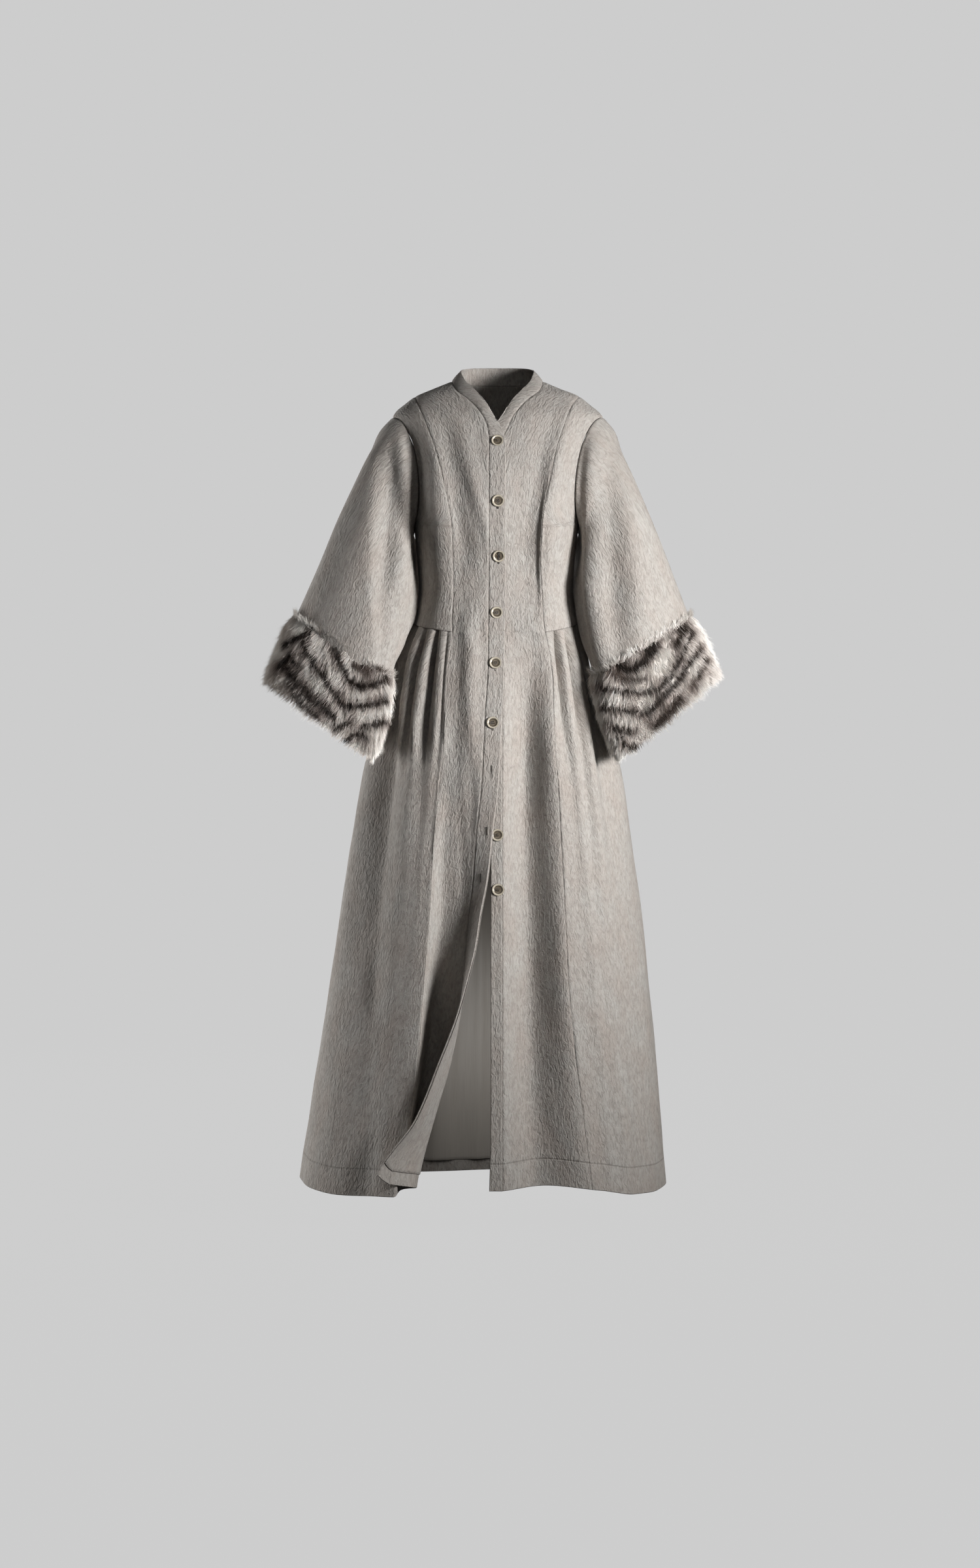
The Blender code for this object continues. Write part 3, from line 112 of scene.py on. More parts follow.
# Front edges: height, x of the seam and x of the free edge
OVER_EDGE = (
    (-100, -15.8, 13.0), (-300, -16.0, 14.0), (-500, -17.5, 11.0), (-602, -23.5, 7.0),
    (-700, -28.5, 1.0),
)
UNDER_EDGE = ((-100, 8.5, -13.0), (-1290, 8.0, -13.0), (-1445, 8.0, -16.0))
# Plan of the open right front: height, then x and y of its wall, floor, roll and free edge
OPENING = (
    (-600, -78, -137, -52, -144, -30, -149, 7, -152),
    (-717, -84, -156, -54, -163, -30, -171, 1, -175),
    (-807, -92, -156, -62, -164, -36, -174, -10, -184),
    (-878, -97, -155, -68, -161, -42, -173, -18, -190),
    (-946, -101, -154, -75, -159, -49, -176, -31, -198),
    (-1003, -106, -152, -82, -157, -57, -179, -40, -206),
    (-1060, -112, -148, -90, -152, -65, -178, -54, -215),
    (-1128, -119, -142, -98, -142, -71, -172, -74, -223),
    (-1200, -127, -134, -105, -128, -84, -166, -102, -229),
    (-1300, -146, -128, -126, -114, -113, -160, -143, -236),
    (-1400, -168, -134, -150, -120, -143, -172, -210, -245),
    (-1445, -176, -138, -158, -126, -150, -178, -216, -247),
)
# Folds as lines down the cloth: x (or a share of the back) and depth at each of these heights
LEVELS = (-424, -504, -600, -717, -1071, -1445)
SIDE_FOLDS = {
    Side.RIGHT: (
        ((88, 95, 101, 111, 142, 190), (1, 3, 3, 1, 0.4, 0.3)),
        ((96, 102, 109, 119, 152, 197), (0, 0, 0, 0.4, 1.2, 1.5)),
        ((105, 119, 129, 136, 164, 204), (4, 22, 20, 5, 3.4, 3.4)),
        ((114, 135, 149, 156, 180, 212), (0, 0, 0, 4, 7, 6)),
        ((124, 147, 161, 171, 196, 220), (4, 15, 12, 10, 12, 8.6)),
        ((133, 159, 173, 187, 214, 228), (0, 0, 2, 19, 18, 10.7)),
        ((142, 173, 191, 206, 236, 240), (5, 26, 32, 30, 22, 12)),
    ),
    Side.LEFT: (
        ((99, 111, 117, 131, 158, 190), (5, 18, 12, 4, 1, 1)),
        ((109, 122, 131, 143, 171, 203), (0, 0, 0, 0, 0, 0)),
        ((117, 133, 146, 158, 185, 216), (4, 19, 14, 7, 2, 1)),
        ((127, 145, 159, 171, 199, 231), (0, 0, 0, 1, 1, 0)),
        ((135, 158, 178, 194, 233, 250), (5, 18, 18, 14, 7, 5)),
    ),
}
FRONT_FOLDS = {Side.RIGHT: (), Side.LEFT: (((50, 58, 56, 54, 58, 72), (0, 12, 28, 38, 39, 29)),)}
BACK_FOLDS = {
    Side.RIGHT: (
        (0.13, (4, 19, 16, 10, 4, 3)), (0.27, (0, 0, 0, 0, 0, 0)), (0.41, (4, 21, 18, 12, 6, 5)),
        (0.55, (0, 0, 0, 1, 1, 1)), (0.69, (4, 18, 20, 14, 8, 6)),
    ),
    Side.LEFT: (
        (0.14, (4, 17, 14, 9, 5, 4)), (0.29, (0, 0, 0, 0, 0, 0)), (0.43, (4, 19, 17, 13, 7, 5)),
        (0.56, (0, 0, 0, 1, 1, 1)), (0.70, (4, 15, 17, 12, 6, 5)),
    ),
}
CENTRE_BACK_FOLDS = {
    Side.RIGHT: (-0.45, (0, 1, 4, 7, 11, 12)),
    Side.LEFT: (-0.55, (0, 1, 3, 6, 10, 13)),
}
# How sharply the pleats are pressed at the waist, and the heights where they soften
PRESSED, PRESSED_FROM, PRESSED_TO = 0.85, -560.0, -650.0
# Hem height by angle: angle, right, left
HEM = (
    (0, -1436, -1429), (17, -1439, -1421), (34, -1441, -1430), (50, -1443, -1441),
    (65, -1438, -1442), (90, -1425, -1431), (135, -1440, -1438), (180, -1436, -1436),
)
# Sleeve sections: outer and inner fold line, how far it rounds forwards and backwards, and the lean
SLEEVES = {
    Side.RIGHT: (
        (-229, 4, -118, -153, -27, -298, 68, 57, 14), (-256, 6, -180, -150, -48, -334, 66, 60, 42),
        (-284, 8, -246, -156, -68, -368, 62, 68, 60), (-308, 8, -303, -169, -78, -415, 60, 68, 94),
        (-332, 8, -359, -184, -92, -467, 57, 62, 100), (-355, 8, -413, -199, -104, -521, 55, 54, 76),
        (-378, 6, -469, -211, -114, -590, 54, 49, 30), (-398, 4, -521, -226, -120, -652, 54, 47, 0),
    ),
    Side.LEFT: (
        (223, 4, -118, 150, -27, -298, 68, 57, 14), (247, 6, -180, 147, -48, -334, 66, 60, 42),
        (272, 8, -246, 152, -68, -368, 62, 68, 60), (294, 8, -303, 161, -78, -415, 60, 68, 94),
        (315, 8, -359, 171, -92, -465, 57, 62, 100), (336, 8, -415, 184, -104, -516, 55, 54, 76),
        (358, 6, -468, 198, -114, -588, 54, 49, 30), (377, 4, -514, 216, -120, -652, 54, 47, 0),
    ),
}
SLEEVE_STEPS = (1, 2, 3, 4, 5, 6, 6.5, 7, 7.5, 8)
# Steps down the bodice's seams: where the neckline ends and where the waist seam is
NECK_STEP, WAIST_STEP = 6, 16
# Buttons: x, z and whether the button is on the over placket
BUTTONS = (
    (-1.2, -107, True), (0.0, -216, True), (1.2, -312, True), (-2.3, -413, True),
    (-4.6, -503, True), (-9.2, -609, True), (-9.3, -705, False), (-1.1, -807, False),
    (0.0, -903, False),
)


def mix(a: Points, b: Points, t: Points) -> Points:
    """The value a share t of the way from a to b."""
    return a + (b - a) * t


def ease(start: float, end: float, value: Points) -> Points:
    """A soft step.

    Args:
        start: Where the step is 0.
        end: Where the step is 1.
        value: Where it is read.

    Returns:
        The step's height, from 0 to 1.
    """
    t = np.clip((np.asarray(value, float) - start) / (end - start), 0.0, 1.0)
    return t * t * (3 - 2 * t)


def unit(vectors: Points) -> Points:
    """The vectors at length 1."""
    return vectors / np.maximum(np.linalg.norm(vectors, axis=-1, keepdims=True), 1e-12)


def bend(t: Points, start: Points, end: Points, leaves: Points, arrives: Points) -> Points:
    """The cubic between two values.

    Args:
        t: How far along it is read, from 0 to 1.
        start: Its value at 0.
        end: Its value at 1.
        leaves: Its slope at 0.
        arrives: Its slope at 1.

    Returns:
        Its value at t.
    """
    return ((1 + 2 * t) * (1 - t) ** 2 * start + t * (1 - t) ** 2 * leaves
            + t * t * (3 - 2 * t) * end + t * t * (t - 1) * arrives)


def calm_slope(before: Points, after: Points) -> Points:
    """The slope at a knot between two rises, level where they turn, so that nothing swings past it."""
    turns = before * after <= 0
    return np.where(turns, 0.0, 2 * before * after / np.where(turns, 1.0, before + after))


def read_grid(values: Points, row: Points, place: Points) -> Points:
    """Values between a grid's points, at rows and columns that need not be whole."""
    r = np.clip(row.astype(int), 0, values.shape[0] - 2)
    c = np.clip(place.astype(int), 0, values.shape[1] - 2)
    tr, tc = (row - r)[..., None], (place - c)[..., None]
    return mix(mix(values[r, c], values[r, c + 1], tc), mix(values[r + 1, c], values[r + 1, c + 1], tc), tr)


class Curve:
    """A smooth curve through its knots that never swings past them, held level beyond its ends."""

    def __init__(self, knots: Sequence[float], values: Sequence[float]) -> None:
        """Sorts the knots and works out a slope at each."""
        order = np.argsort(knots)
        self.knots = np.asarray(knots, float)[order]
        self.values = np.asarray(values, float)[order]
        rise = np.diff(self.values) / np.diff(self.knots)
        self.slopes = np.concatenate([rise[:1], calm_slope(rise[:-1], rise[1:]), rise[-1:]])

    def __call__(self, at: Points) -> Points:
        """The curve's values at the given places."""
        at = np.clip(np.asarray(at, float), self.knots[0], self.knots[-1])
        k = np.clip(np.searchsorted(self.knots, at, side="right") - 1, 0, len(self.knots) - 2)
        step = self.knots[k + 1] - self.knots[k]
        return bend((at - self.knots[k]) / step, self.values[k], self.values[k + 1],
                    step * self.slopes[k], step * self.slopes[k + 1])


def column(rows: Sequence[Sequence[float]], place: int, key: int = 0) -> Curve:
    """The curve of one column of a table against its key column."""
    return Curve([row[key] for row in rows], [row[place] for row in rows])


class CoatForm:
    """The coat's form: the middle surface of each cut piece as a function of two shares."""

    waist = {"front": -447.0, "side": -424.0, "back": -432.0}
    tip_z, underarm_z, princess_underarm_z = -57.0, -245.0, -262.0
    bow = {False: 27.0, True: 29.0}
    armhole_steps, side_rows = 12, 4
    lap, lap_from, lap_to = 3.5, 16.0, 60.0
    placket = 30.0
    swing_from, swing_full, crest_turn = -560.0, -680.0, 4.0
    hem_level, back_seam_angle, placket_angle = -1440.0, 150.0, 2.0
    edge_lift, lift_to_placket, lift_bend = 42.0, 0.72, 1.6
    side_crest = 80.0
    sleeve_lens, sleeve_room, cuff_room, cuff_step = 0.16, 11.0, 31.0, 6.0
    cap_share, cap_ease, underarm_lap, sleeve_lap = 0.36, 6.5, 2.5, 1.7

    def __init__(self) -> None:
        """Turns the tables into curves."""
        self.half = {Side.RIGHT: column(RINGS, 1), Side.LEFT: column(RINGS, 2)}
        self.front_deep, self.back_deep = column(RINGS, 3), column(RINGS, 4)
        self.princess = {Side.RIGHT: column(PRINCESS, 1), Side.LEFT: column(PRINCESS, 2)}
        self.back_share = column(BACK_PRINCESS, 1)
        self.over_seam, self.over_edge = column(OVER_EDGE, 1), column(OVER_EDGE, 2)
        self.under_seam, self.under_edge = column(UNDER_EDGE, 1), column(UNDER_EDGE, 2)
        self.hem = {Side.RIGHT: column(HEM, 1), Side.LEFT: column(HEM, 2)}
        self.turns = np.linspace(0, math.pi / 2, 1441)
        self.ratios = self.reach(self.turns)
        self.opened = self.opened_plans()

    @staticmethod
    def reach(turn: Points) -> Points:
        """How far out a section is at a turn, as a share of its half width."""
        return (np.sin(turn) + SQUARENESS * np.sin(3 * turn)) / (1 - SQUARENESS)

    def half_at(self, angle: Points, z: Points) -> Points:
        """The section's half width on the angle's own side."""
        return np.where(np.asarray(angle) < 0, self.half[Side.RIGHT](z), self.half[Side.LEFT](z))

    def angle_of(self, x: Points, z: Points, back: bool = False) -> Points:
        """The angle at which the section at height z reaches x."""
        x = np.asarray(x, float)
        ratio = np.clip(np.abs(x) / self.half_at(x, z), 0, 1)
        angle = np.degrees(np.interp(ratio, self.ratios, self.turns))
        return np.where(x < 0, -1.0, 1.0) * (180 - angle if back else angle)

    def outline(self, angle: Points, z: Points, inside: Points = 0.0) -> Points:
        """Points of the sections, moved inwards.

        Args:
            angle: Angles round from centre front.
            z: Heights.
            inside: How far inside the section each point lies.

        Returns:
            The points.
        """
        angle, z, inside = np.broadcast_arrays(*(np.asarray(v, float) for v in (angle, z, inside)))
        sign = np.where(angle < 0, -1.0, 1.0)
        turn = np.radians(np.abs(angle))
        half = self.half_at(angle, z)
        deep = np.where(np.abs(angle) <= 90, self.front_deep(z), self.back_deep(z))
        x = sign * half * self.reach(turn)
        y = -deep * (np.cos(turn) - SQUARENESS * np.cos(3 * turn)) / (1 - SQUARENESS)
        along_x = half * (np.cos(turn) + 3 * SQUARENESS * np.cos(3 * turn))
        along_y = deep * (np.sin(turn) - 3 * SQUARENESS * np.sin(3 * turn))
        out = unit(np.stack([sign * along_y, -along_x, np.zeros_like(x)], -1))
        return np.stack([x, y, z], -1) - out * inside[..., None]

    def princess_angle(self, side: Side, z: Points) -> Points:
        """Angle of the front princess seam, without its sign."""
        return np.abs(self.angle_of(side.value * self.princess[side](z), z))

    def back_princess_angle(self, side: Side, z: Points) -> Points:
        """Angle of the back princess seam, without its sign."""
        return np.abs(self.angle_of(side.value * self.half[side](z) * self.back_share(z), z, True))

    def fold_lines(self, side: Side, z: Points) -> list[tuple[Points, Points]]:
        """The angle and depth of every fold line on one side, from front to back."""
        still = np.zeros_like(np.asarray(z, float))

        def front_line(fold: tuple) -> tuple[Points, Points]:
            """The line of a fold given by its x."""
            x = Curve(LEVELS, fold[0])(z)
            return np.abs(self.angle_of(side.value * x, z)), Curve(LEVELS, fold[1])(z)

        lines = [(still, still)]
        lines += [front_line(fold) for fold in FRONT_FOLDS[side]]
        lines.append((self.princess_angle(side, z), still))
        lines += [front_line(fold) for fold in SIDE_FOLDS[side]]
        lines += [(still + self.side_crest, still), (still + 180 - self.side_crest, still)]
        seam = self.back_princess_angle(side, z)
        for share, depth in reversed(BACK_FOLDS[side]):
            lines.append((seam - (seam - 90) * share, Curve(LEVELS, depth)(z)))
        lines.append((seam, still))
        share, depth = CENTRE_BACK_FOLDS[side]
        lines.append((seam - (180 - seam) * share, Curve(LEVELS, depth)(z)))
        lines.append((still + 180, still))
        return lines

    def fold_depth(self, side: Side, turn: Points, z: Points) -> Points:
        """How far the folds carry the cloth inside its crests."""
        turn, z = np.broadcast_arrays(np.asarray(turn, float), np.asarray(z, float))
        lines = self.fold_lines(side, z)
        depth = np.zeros_like(turn)
        for k, (a, b) in enumerate(zip(lines, lines[1:])):
            share = np.clip((turn - a[0]) / np.maximum(b[0] - a[0], 1e-9), 0, 1)
            here = (turn >= a[0]) & (turn <= b[0])
            pressed = self.pressed(z) if k > len(FRONT_FOLDS[side]) else 0.0
            depth = np.where(here, self.between_lines(lines, k, share, pressed), depth)
        return np.where(z > self.waist["side"], 0.0, depth)

    @staticmethod
    def pressed(z: Points) -> Points:
        """How sharply the pleats are pressed: they soften below the hip."""
        return PRESSED * ease(PRESSED_TO, PRESSED_FROM, z)

    @staticmethod
    def between_lines(lines: list[tuple[Points, Points]], k: int, share: Points,
                      pressed: Points) -> Points:
        """The fold depth between line k and the next, level only at each crest and valley.

        Args:
            lines: Angle and depth of every fold line.
            k: The line before the point.
            share: How far the point is on its way to the next line.
            pressed: 1 where crests are wide and valleys narrow, as in a pressed pleat.

        Returns:
            The depth.
        """
        def slope(at: int) -> Points:
            """How fast the depth changes with the angle at a line."""
            if at in (0, len(lines) - 1):
                return np.zeros_like(lines[0][1])
            return calm_slope(*((there[1] - here[1]) / np.maximum(there[0] - here[0], 1e-6)
                                for here, there in (lines[at - 1:at + 1], lines[at:at + 2])))

        (a, deep_a), (b, deep_b) = lines[k], lines[k + 1]
        t = mix(share, np.where(deep_b > deep_a, share ** 2, 1 - (1 - share) ** 2), pressed)
        return bend(t, deep_a, deep_b, (b - a) * slope(k), (b - a) * slope(k + 1))

    def overlap(self, angle: Points, z: Points) -> Points:
        """How far the left front lies behind the right one near centre front."""
        x = self.half[Side.LEFT](z) * self.reach(np.radians(np.clip(angle, 0, 90)))
        return np.where((angle >= 0) & (angle < 90),
                        self.lap * (1 - ease(self.lap_from, self.lap_to, x)), 0.0)

    def cloth(self, side: Side, turn: Points, z: Points) -> Points:
        """The middle of the cloth on one side, with its folds and the front overlap."""
        angle = side.value * np.asarray(turn, float)
        if side is Side.RIGHT:
            angle = np.minimum(angle, -1e-9)
        return self.outline(angle, z, self.fold_depth(side, turn, z) + self.overlap(angle, z))

    def bodice(self, angle: Points, z: Points) -> Points:
        """A point above the waist."""
        return self.outline(angle, z, self.overlap(angle, z))

    def seam_row(self, step: Points, waist: float) -> Points:
        """Height of a row where it meets a princess seam."""
        even = np.clip(step / self.armhole_steps, 0, 1)
        share = (even + (1 - np.cos(np.pi * even)) / 2) / 2
        above = mix(PRINCESS[0][0], self.princess_underarm_z, share)
        below = mix(self.princess_underarm_z, waist, (step - self.armhole_steps) / self.side_rows)
        return np.where(step <= self.armhole_steps, above, below)

    def armhole(self, side: Side, step: Points, back: bool) -> tuple[Points, Points]:
        """Angle and height of the armhole, from the shoulder tip at 0 to the underarm."""
        turn = np.pi * np.asarray(step, float) / self.armhole_steps
        share = (1 - np.cos(turn)) / 2
        z = mix(self.tip_z, self.underarm_z, share)
        half = mix(self.half[side](self.tip_z), self.half[side](self.underarm_z), share)
        inwards = self.bow[back] * np.sin(turn) * (1 + 0.25 * np.cos(turn))
        angle = self.angle_of(side.value * (half - inwards), z, back)
        ends = (turn < 1e-6) | (turn > math.pi - 1e-6)
        return np.where(ends, side.value * 90.0, angle), z

    def side_panel(self, side: Side, back: bool, across: Points, steps: Points) -> Points:
        """Bodice side from the armhole to the princess seam, shoulder to waist."""
        waist = self.waist["back" if back else "front"]
        seam_z = self.seam_row(steps, waist)
        seam = (self.back_princess_angle if back else self.princess_angle)(side, seam_z)
        seam = side.value * np.where(steps <= 0, 90.0, seam)
        hole, hole_z = self.armhole(side, np.clip(steps, 0, self.armhole_steps), back)
        below = steps > self.armhole_steps
        down = (steps - self.armhole_steps) / self.side_rows
        hole = np.where(below, side.value * 90.0, hole)
        hole_z = np.where(below, mix(self.underarm_z, self.waist["side"], down), hole_z)
        return self.bodice(mix(hole[:, None], seam[:, None], across),
                           mix(hole_z[:, None], seam_z[:, None], across))

    def placket_seam(self, side: Side, steps: Points) -> tuple[Points, Points]:
        """Angle and height of the front's inner edge: the neckline, then the placket seam."""
        rows = range(len(NECKLINE))
        neck_z = Curve(rows, [row[0] for row in NECKLINE])(steps)
        neck_x = Curve(rows, [row[1 if side is Side.RIGHT else 2] for row in NECKLINE])(steps)
        start, waist = self.seam_row(np.array(NECK_STEP), self.waist["front"]), self.waist["front"]
        share = (self.seam_row(steps, waist) - start) / (waist - start)
        low_z = mix(NECKLINE[-1][0], waist, np.clip(share, 0, 1))
        low_x = self.over_seam(low_z) if side is Side.RIGHT else self.under_seam(low_z)
        above = steps <= NECK_STEP
        z = np.where(above, neck_z, low_z)
        x = np.where(above, side.value * neck_x, low_x)
        return np.where(steps <= 0, side.value * 90.0, self.angle_of(x, z)), z

    def opened_plans(self) -> tuple[Points, Points, Points]:
        """The right front where it swings open: heights, shares of its width, and x and y at each."""
        heights = np.linspace(self.swing_from, -1446.0, 260)
        start = self.cloth(Side.RIGHT, self.princess_angle(Side.RIGHT, heights), heights)
        turn = self.princess_angle(Side.RIGHT, heights) + self.crest_turn
        before = self.cloth(Side.RIGHT, turn, heights)
        knots = [before[:, :2], start[:, :2]]
        for place in (1, 3, 5, 7):
            knots.append(np.stack([column(OPENING, place)(heights),
                                   column(OPENING, place + 1)(heights)], -1))
        knots.append(2 * knots[-1] - knots[-2])
        shares = np.linspace(0, 2, 241)
        plan = np.zeros((len(heights), len(shares), 2))
        t = np.linspace(0, 1, 24, endpoint=False)[:, None]
        for row in range(len(heights)):
            line = []
            for k in range(1, len(knots) - 2):
                p0, p1, p2, p3 = (knot[row] for knot in knots[k - 1:k + 3])
                line.append(0.5 * (2 * p1 + (p2 - p0) * t + (2 * p0 - 5 * p1 + 4 * p2 - p3) * t ** 2
                                   + (3 * p1 - p0 - 3 * p2 + p3) * t ** 3))
            line = np.concatenate(line + [knots[-2][row][None]])
            length = np.concatenate([[0], np.cumsum(np.linalg.norm(np.diff(line, axis=0), axis=1))])
            seam = length[-1] - self.placket
            at = np.where(shares <= 1, shares * seam, seam + (shares - 1) * self.placket)
            plan[row] = np.stack([np.interp(at, length, line[:, axis]) for axis in (0, 1)], -1)
        return heights, shares, plan

    def right_hem(self, share: Points) -> Points:
        """Height of the right front's hem, which rises towards the edge that is pulled aside."""
        across = (np.minimum(share, 1) * self.lift_to_placket
                  + np.maximum(share - 1, 0) * (1 - self.lift_to_placket))
        level = self.hem[Side.RIGHT](self.princess_angle(Side.RIGHT, self.hem_level))
        return level + self.edge_lift * across ** self.lift_bend

    def right_front(self, shares: Points, down: Points) -> Points:
        """The right front below the waist: share 0 to 1 is the panel, and 1 to 2 the placket."""
        shares, down = np.meshgrid(shares, down)
        z = mix(self.waist["front"], self.right_hem(shares), down)
        seam = self.angle_of(self.over_seam(z), z)
        panel = mix(-self.princess_angle(Side.RIGHT, z), seam, np.minimum(shares, 1))
        strip = self.angle_of(mix(self.over_seam(z), self.over_edge(z), shares - 1), z)
        closed = self.outline(np.where(shares <= 1, panel, strip), z)
        heights, known, plan = self.opened
        row = np.interp(-z, -heights, np.arange(len(heights)))
        place = np.interp(shares, known, np.arange(len(known)))
        opened = np.concatenate([read_grid(plan, row, place), z[..., None]], -1)
        return mix(closed, opened, ease(self.swing_from, self.swing_full, z)[..., None])

    def centre_front(self, side: Side, across: Points, steps: Points, down: Points) -> Points:
        """A whole centre front, from the princess seam inwards and from the shoulder to the hem."""
        seam_z = self.seam_row(steps, self.waist["front"])
        seam = side.value * np.where(steps <= 0, 90.0, self.princess_angle(side, seam_z))
        edge, edge_z = self.placket_seam(side, steps)
        top = self.bodice(mix(seam[:, None], edge[:, None], across),
                          mix(seam_z[:, None], edge_z[:, None], across))
        if side is Side.RIGHT:
            return np.concatenate([top, self.right_front(across, down[1:])])
        hem_angle = mix(self.princess_angle(side, self.hem_level), self.placket_angle, across)
        z = mix(self.waist["front"], self.hem[side](hem_angle)[None], down[1:, None])
        turn = mix(self.princess_angle(side, z), np.abs(self.angle_of(self.under_seam(z), z)), across)
        return np.concatenate([top, self.cloth(side, turn, z)])

    def over_placket(self, shares: Points, steps: Points, down: Points) -> Points:
        """The buttonhole strip on the right front, from its seam to the free edge."""
        z = self.placket_seam(Side.RIGHT, steps)[1][:, None]
        x = mix(self.over_seam(z), self.over_edge(z), shares[None] - 1)
        top = self.outline(self.angle_of(x, z), z)
        return np.concatenate([top, self.right_front(shares, down[1:])])

    def under_placket(self, shares: Points, steps: Points, down: Points) -> Points:
        """The button strip on the left front, which lies behind the right one."""
        hem = self.hem[Side.LEFT](self.placket_angle)
        z = np.concatenate([self.placket_seam(Side.LEFT, steps)[1],
                            mix(self.waist["front"], hem, down[1:])])[:, None]
        x = mix(self.under_seam(z), self.under_edge(z), shares[None])
        return self.outline(self.angle_of(x, z), z, self.lap)

    def centre_back(self, shares: Points, shoulder: Points, steps: Points, down: Points) -> Points:
        """The back between its princess seams, from the neck to the hem."""
        top = self.seam_row(np.array(1.0), self.waist["back"])
        widest = self.back_princess_angle(Side.RIGHT, top) - 90.0
        rows = []
        for share in shoulder:
            rows.append((90.0, 270.0, mix(NECKLINE[0][0], PRINCESS[0][0], share), widest * share))
        for z in self.seam_row(steps, self.waist["back"]):
            right, left = (float(self.back_princess_angle(side, z)) for side in Side)
            fan = widest * max(0.0, 1 - (PRINCESS[0][0] - z) / (PRINCESS[0][0] - top))
            rows.append((right, 360 - left, z, fan))
        right, left, z, fan = (np.array(values)[:, None] for values in zip(*rows))
        fan = fan * ease(0, 0.1, np.minimum(shares, 1 - shares))
        turn = mix(right + fan, left - fan, shares)
        z = np.broadcast_to(z, turn.shape)
        top_grid = self.bodice(np.where(turn <= 180, -turn, 360 - turn), z)
        hem_angle = mix(self.back_seam_angle, 180, 1 - np.abs(2 * shares - 1))
        hem = np.where(shares < 0.5, self.hem[Side.RIGHT](hem_angle), self.hem[Side.LEFT](hem_angle))
        z = mix(self.waist["back"], hem[None], down[1:, None])
        turn = mix(self.back_princess_angle(Side.RIGHT, z),
                   360 - self.back_princess_angle(Side.LEFT, z), shares)
        right_side = self.cloth(Side.RIGHT, np.minimum(turn, 180), z)
        left_side = self.cloth(Side.LEFT, np.minimum(360 - turn, 180), z)
        return np.concatenate([top_grid, np.where((turn <= 180)[..., None], right_side, left_side)])

    def side_skirt(self, side: Side, per_fold: int, down: Points) -> Points:
        """The pleated skirt from the front princess seam round the side to the back one."""
        first = 1 + len(FRONT_FOLDS[side])
        count = len(self.fold_lines(side, np.array(0.0))) - 2 - first
        wide = len(SIDE_FOLDS[side]) + 1
        places = [0.0]
        for k in range(count - 1):
            parts = per_fold * 4 if k == wide else per_fold * 2 if abs(k - wide) == 1 else per_fold
            places += list(np.linspace(k, k + 1, parts + 1)[1:])
        places = np.array(places)
        index = np.minimum(places.astype(int), count - 2)
        share = places - index

        def turns(z: Points) -> tuple[Points, Points]:
            """Angle and depth of every column at its own height."""
            lines = self.fold_lines(side, z)
            angle, depth = np.zeros_like(z), np.zeros_like(z)
            for k in range(count - 1):
                here = (index == k)[None] & np.ones_like(z, bool)
                angle = np.where(here, mix(lines[first + k][0], lines[first + k + 1][0], share), angle)
                part = self.between_lines(lines, first + k, share, self.pressed(z))
                depth = np.where(here, part, depth)
            return angle, depth

        level = np.full((1, len(places)), self.waist["side"])
        top = turns(level)[0][0]
        front = mix(self.waist["front"], self.waist["side"], (top - top[0]) / (90 - top[0]))
        behind = mix(self.waist["side"], self.waist["back"], (top - 90) / (top[-1] - 90))
        waist = np.where(top <= 90, front, behind)
        hem_turn = turns(np.full((1, len(places)), self.hem_level))[0][0]
        hem = self.hem[side](np.minimum(hem_turn, mix(hem_turn, self.back_seam_angle,
                                                      ease(count - 2, count - 1, places))))
        hem[-1] = self.hem[side](self.back_seam_angle)
        z = mix(waist[None], hem[None], down[:, None])
        angle, depth = turns(z)
        return self.outline(side.value * angle, z, np.where(z > self.waist["side"], 0, depth))

    def surface_normal(self, angle: Points, z: Points) -> Points:
        """Outward direction of the plain sections at an angle and height."""
        turn = self.outline(angle + 0.5, z) - self.outline(angle - 0.5, z)
        rise = self.outline(angle, z + 1.0) - self.outline(angle, z - 1.0)
        normal = unit(np.cross(turn, rise))
        out = np.sum(normal[..., :2] * self.outline(angle, z)[..., :2], -1, keepdims=True)
        return np.where(out < 0, -normal, normal)

    def beside_body(self, points: Points, room: float) -> Points:
        """Sleeve points moved out as far as they need to rest on the side of the body."""
        z = points[..., 2]
        half = self.half_at(points[..., 0], z) + room
        deep = np.where(points[..., 1] < 0, self.front_deep(z), self.back_deep(z)) + room
        reach = np.hypot(points[..., 0] / half, points[..., 1] / deep)
        scale = np.where((z <= self.underarm_z) & (reach < 1), 1 / np.maximum(reach, 1e-6), 1.0)
        return points * np.stack([scale, scale, np.ones_like(scale)], -1)

    def sleeve_values(self, side: Side, step: float) -> Points:
        """A sleeve section's values at a step between the rows of its table."""
        steps = range(1, len(SLEEVES[side]) + 1)
        return np.array([float(Curve(steps, values)(step)) for values in zip(*SLEEVES[side])])

    def sleeve_ring(self, side: Side, step: float, turns: Points) -> Points:
        """Points round the sleeve at one step, from its outer line over the front."""
        here = self.sleeve_values(side, step)
        above, below = self.sleeve_values(side, step - 0.5), self.sleeve_values(side, step + 0.5)
        outer, inner = here[0:3], here[3:6]
        centre, across = (outer + inner) / 2, (outer - inner) / 2
        down = (below[0:3] + below[3:6] - above[0:3] - above[3:6]) / 2
        forward = unit(np.cross(across, down))
        if forward[1] > 0:
            forward = -forward
        wave, rise = np.cos(turns)[:, None], np.sin(turns)[:, None]
        deep = np.where(rise >= 0, here[6], here[7]) * (1 + self.sleeve_lens * wave)
        lean = -side.value * here[8] * np.minimum(rise, 0) ** 2
        room = mix(self.sleeve_room, self.cuff_room,
                   float(ease(self.cuff_step - 1.5, self.cuff_step, step)))
        points = centre + across * wave + forward * deep * rise + lean * np.array([1.0, 0, 0])
        return self.beside_body(points, room)

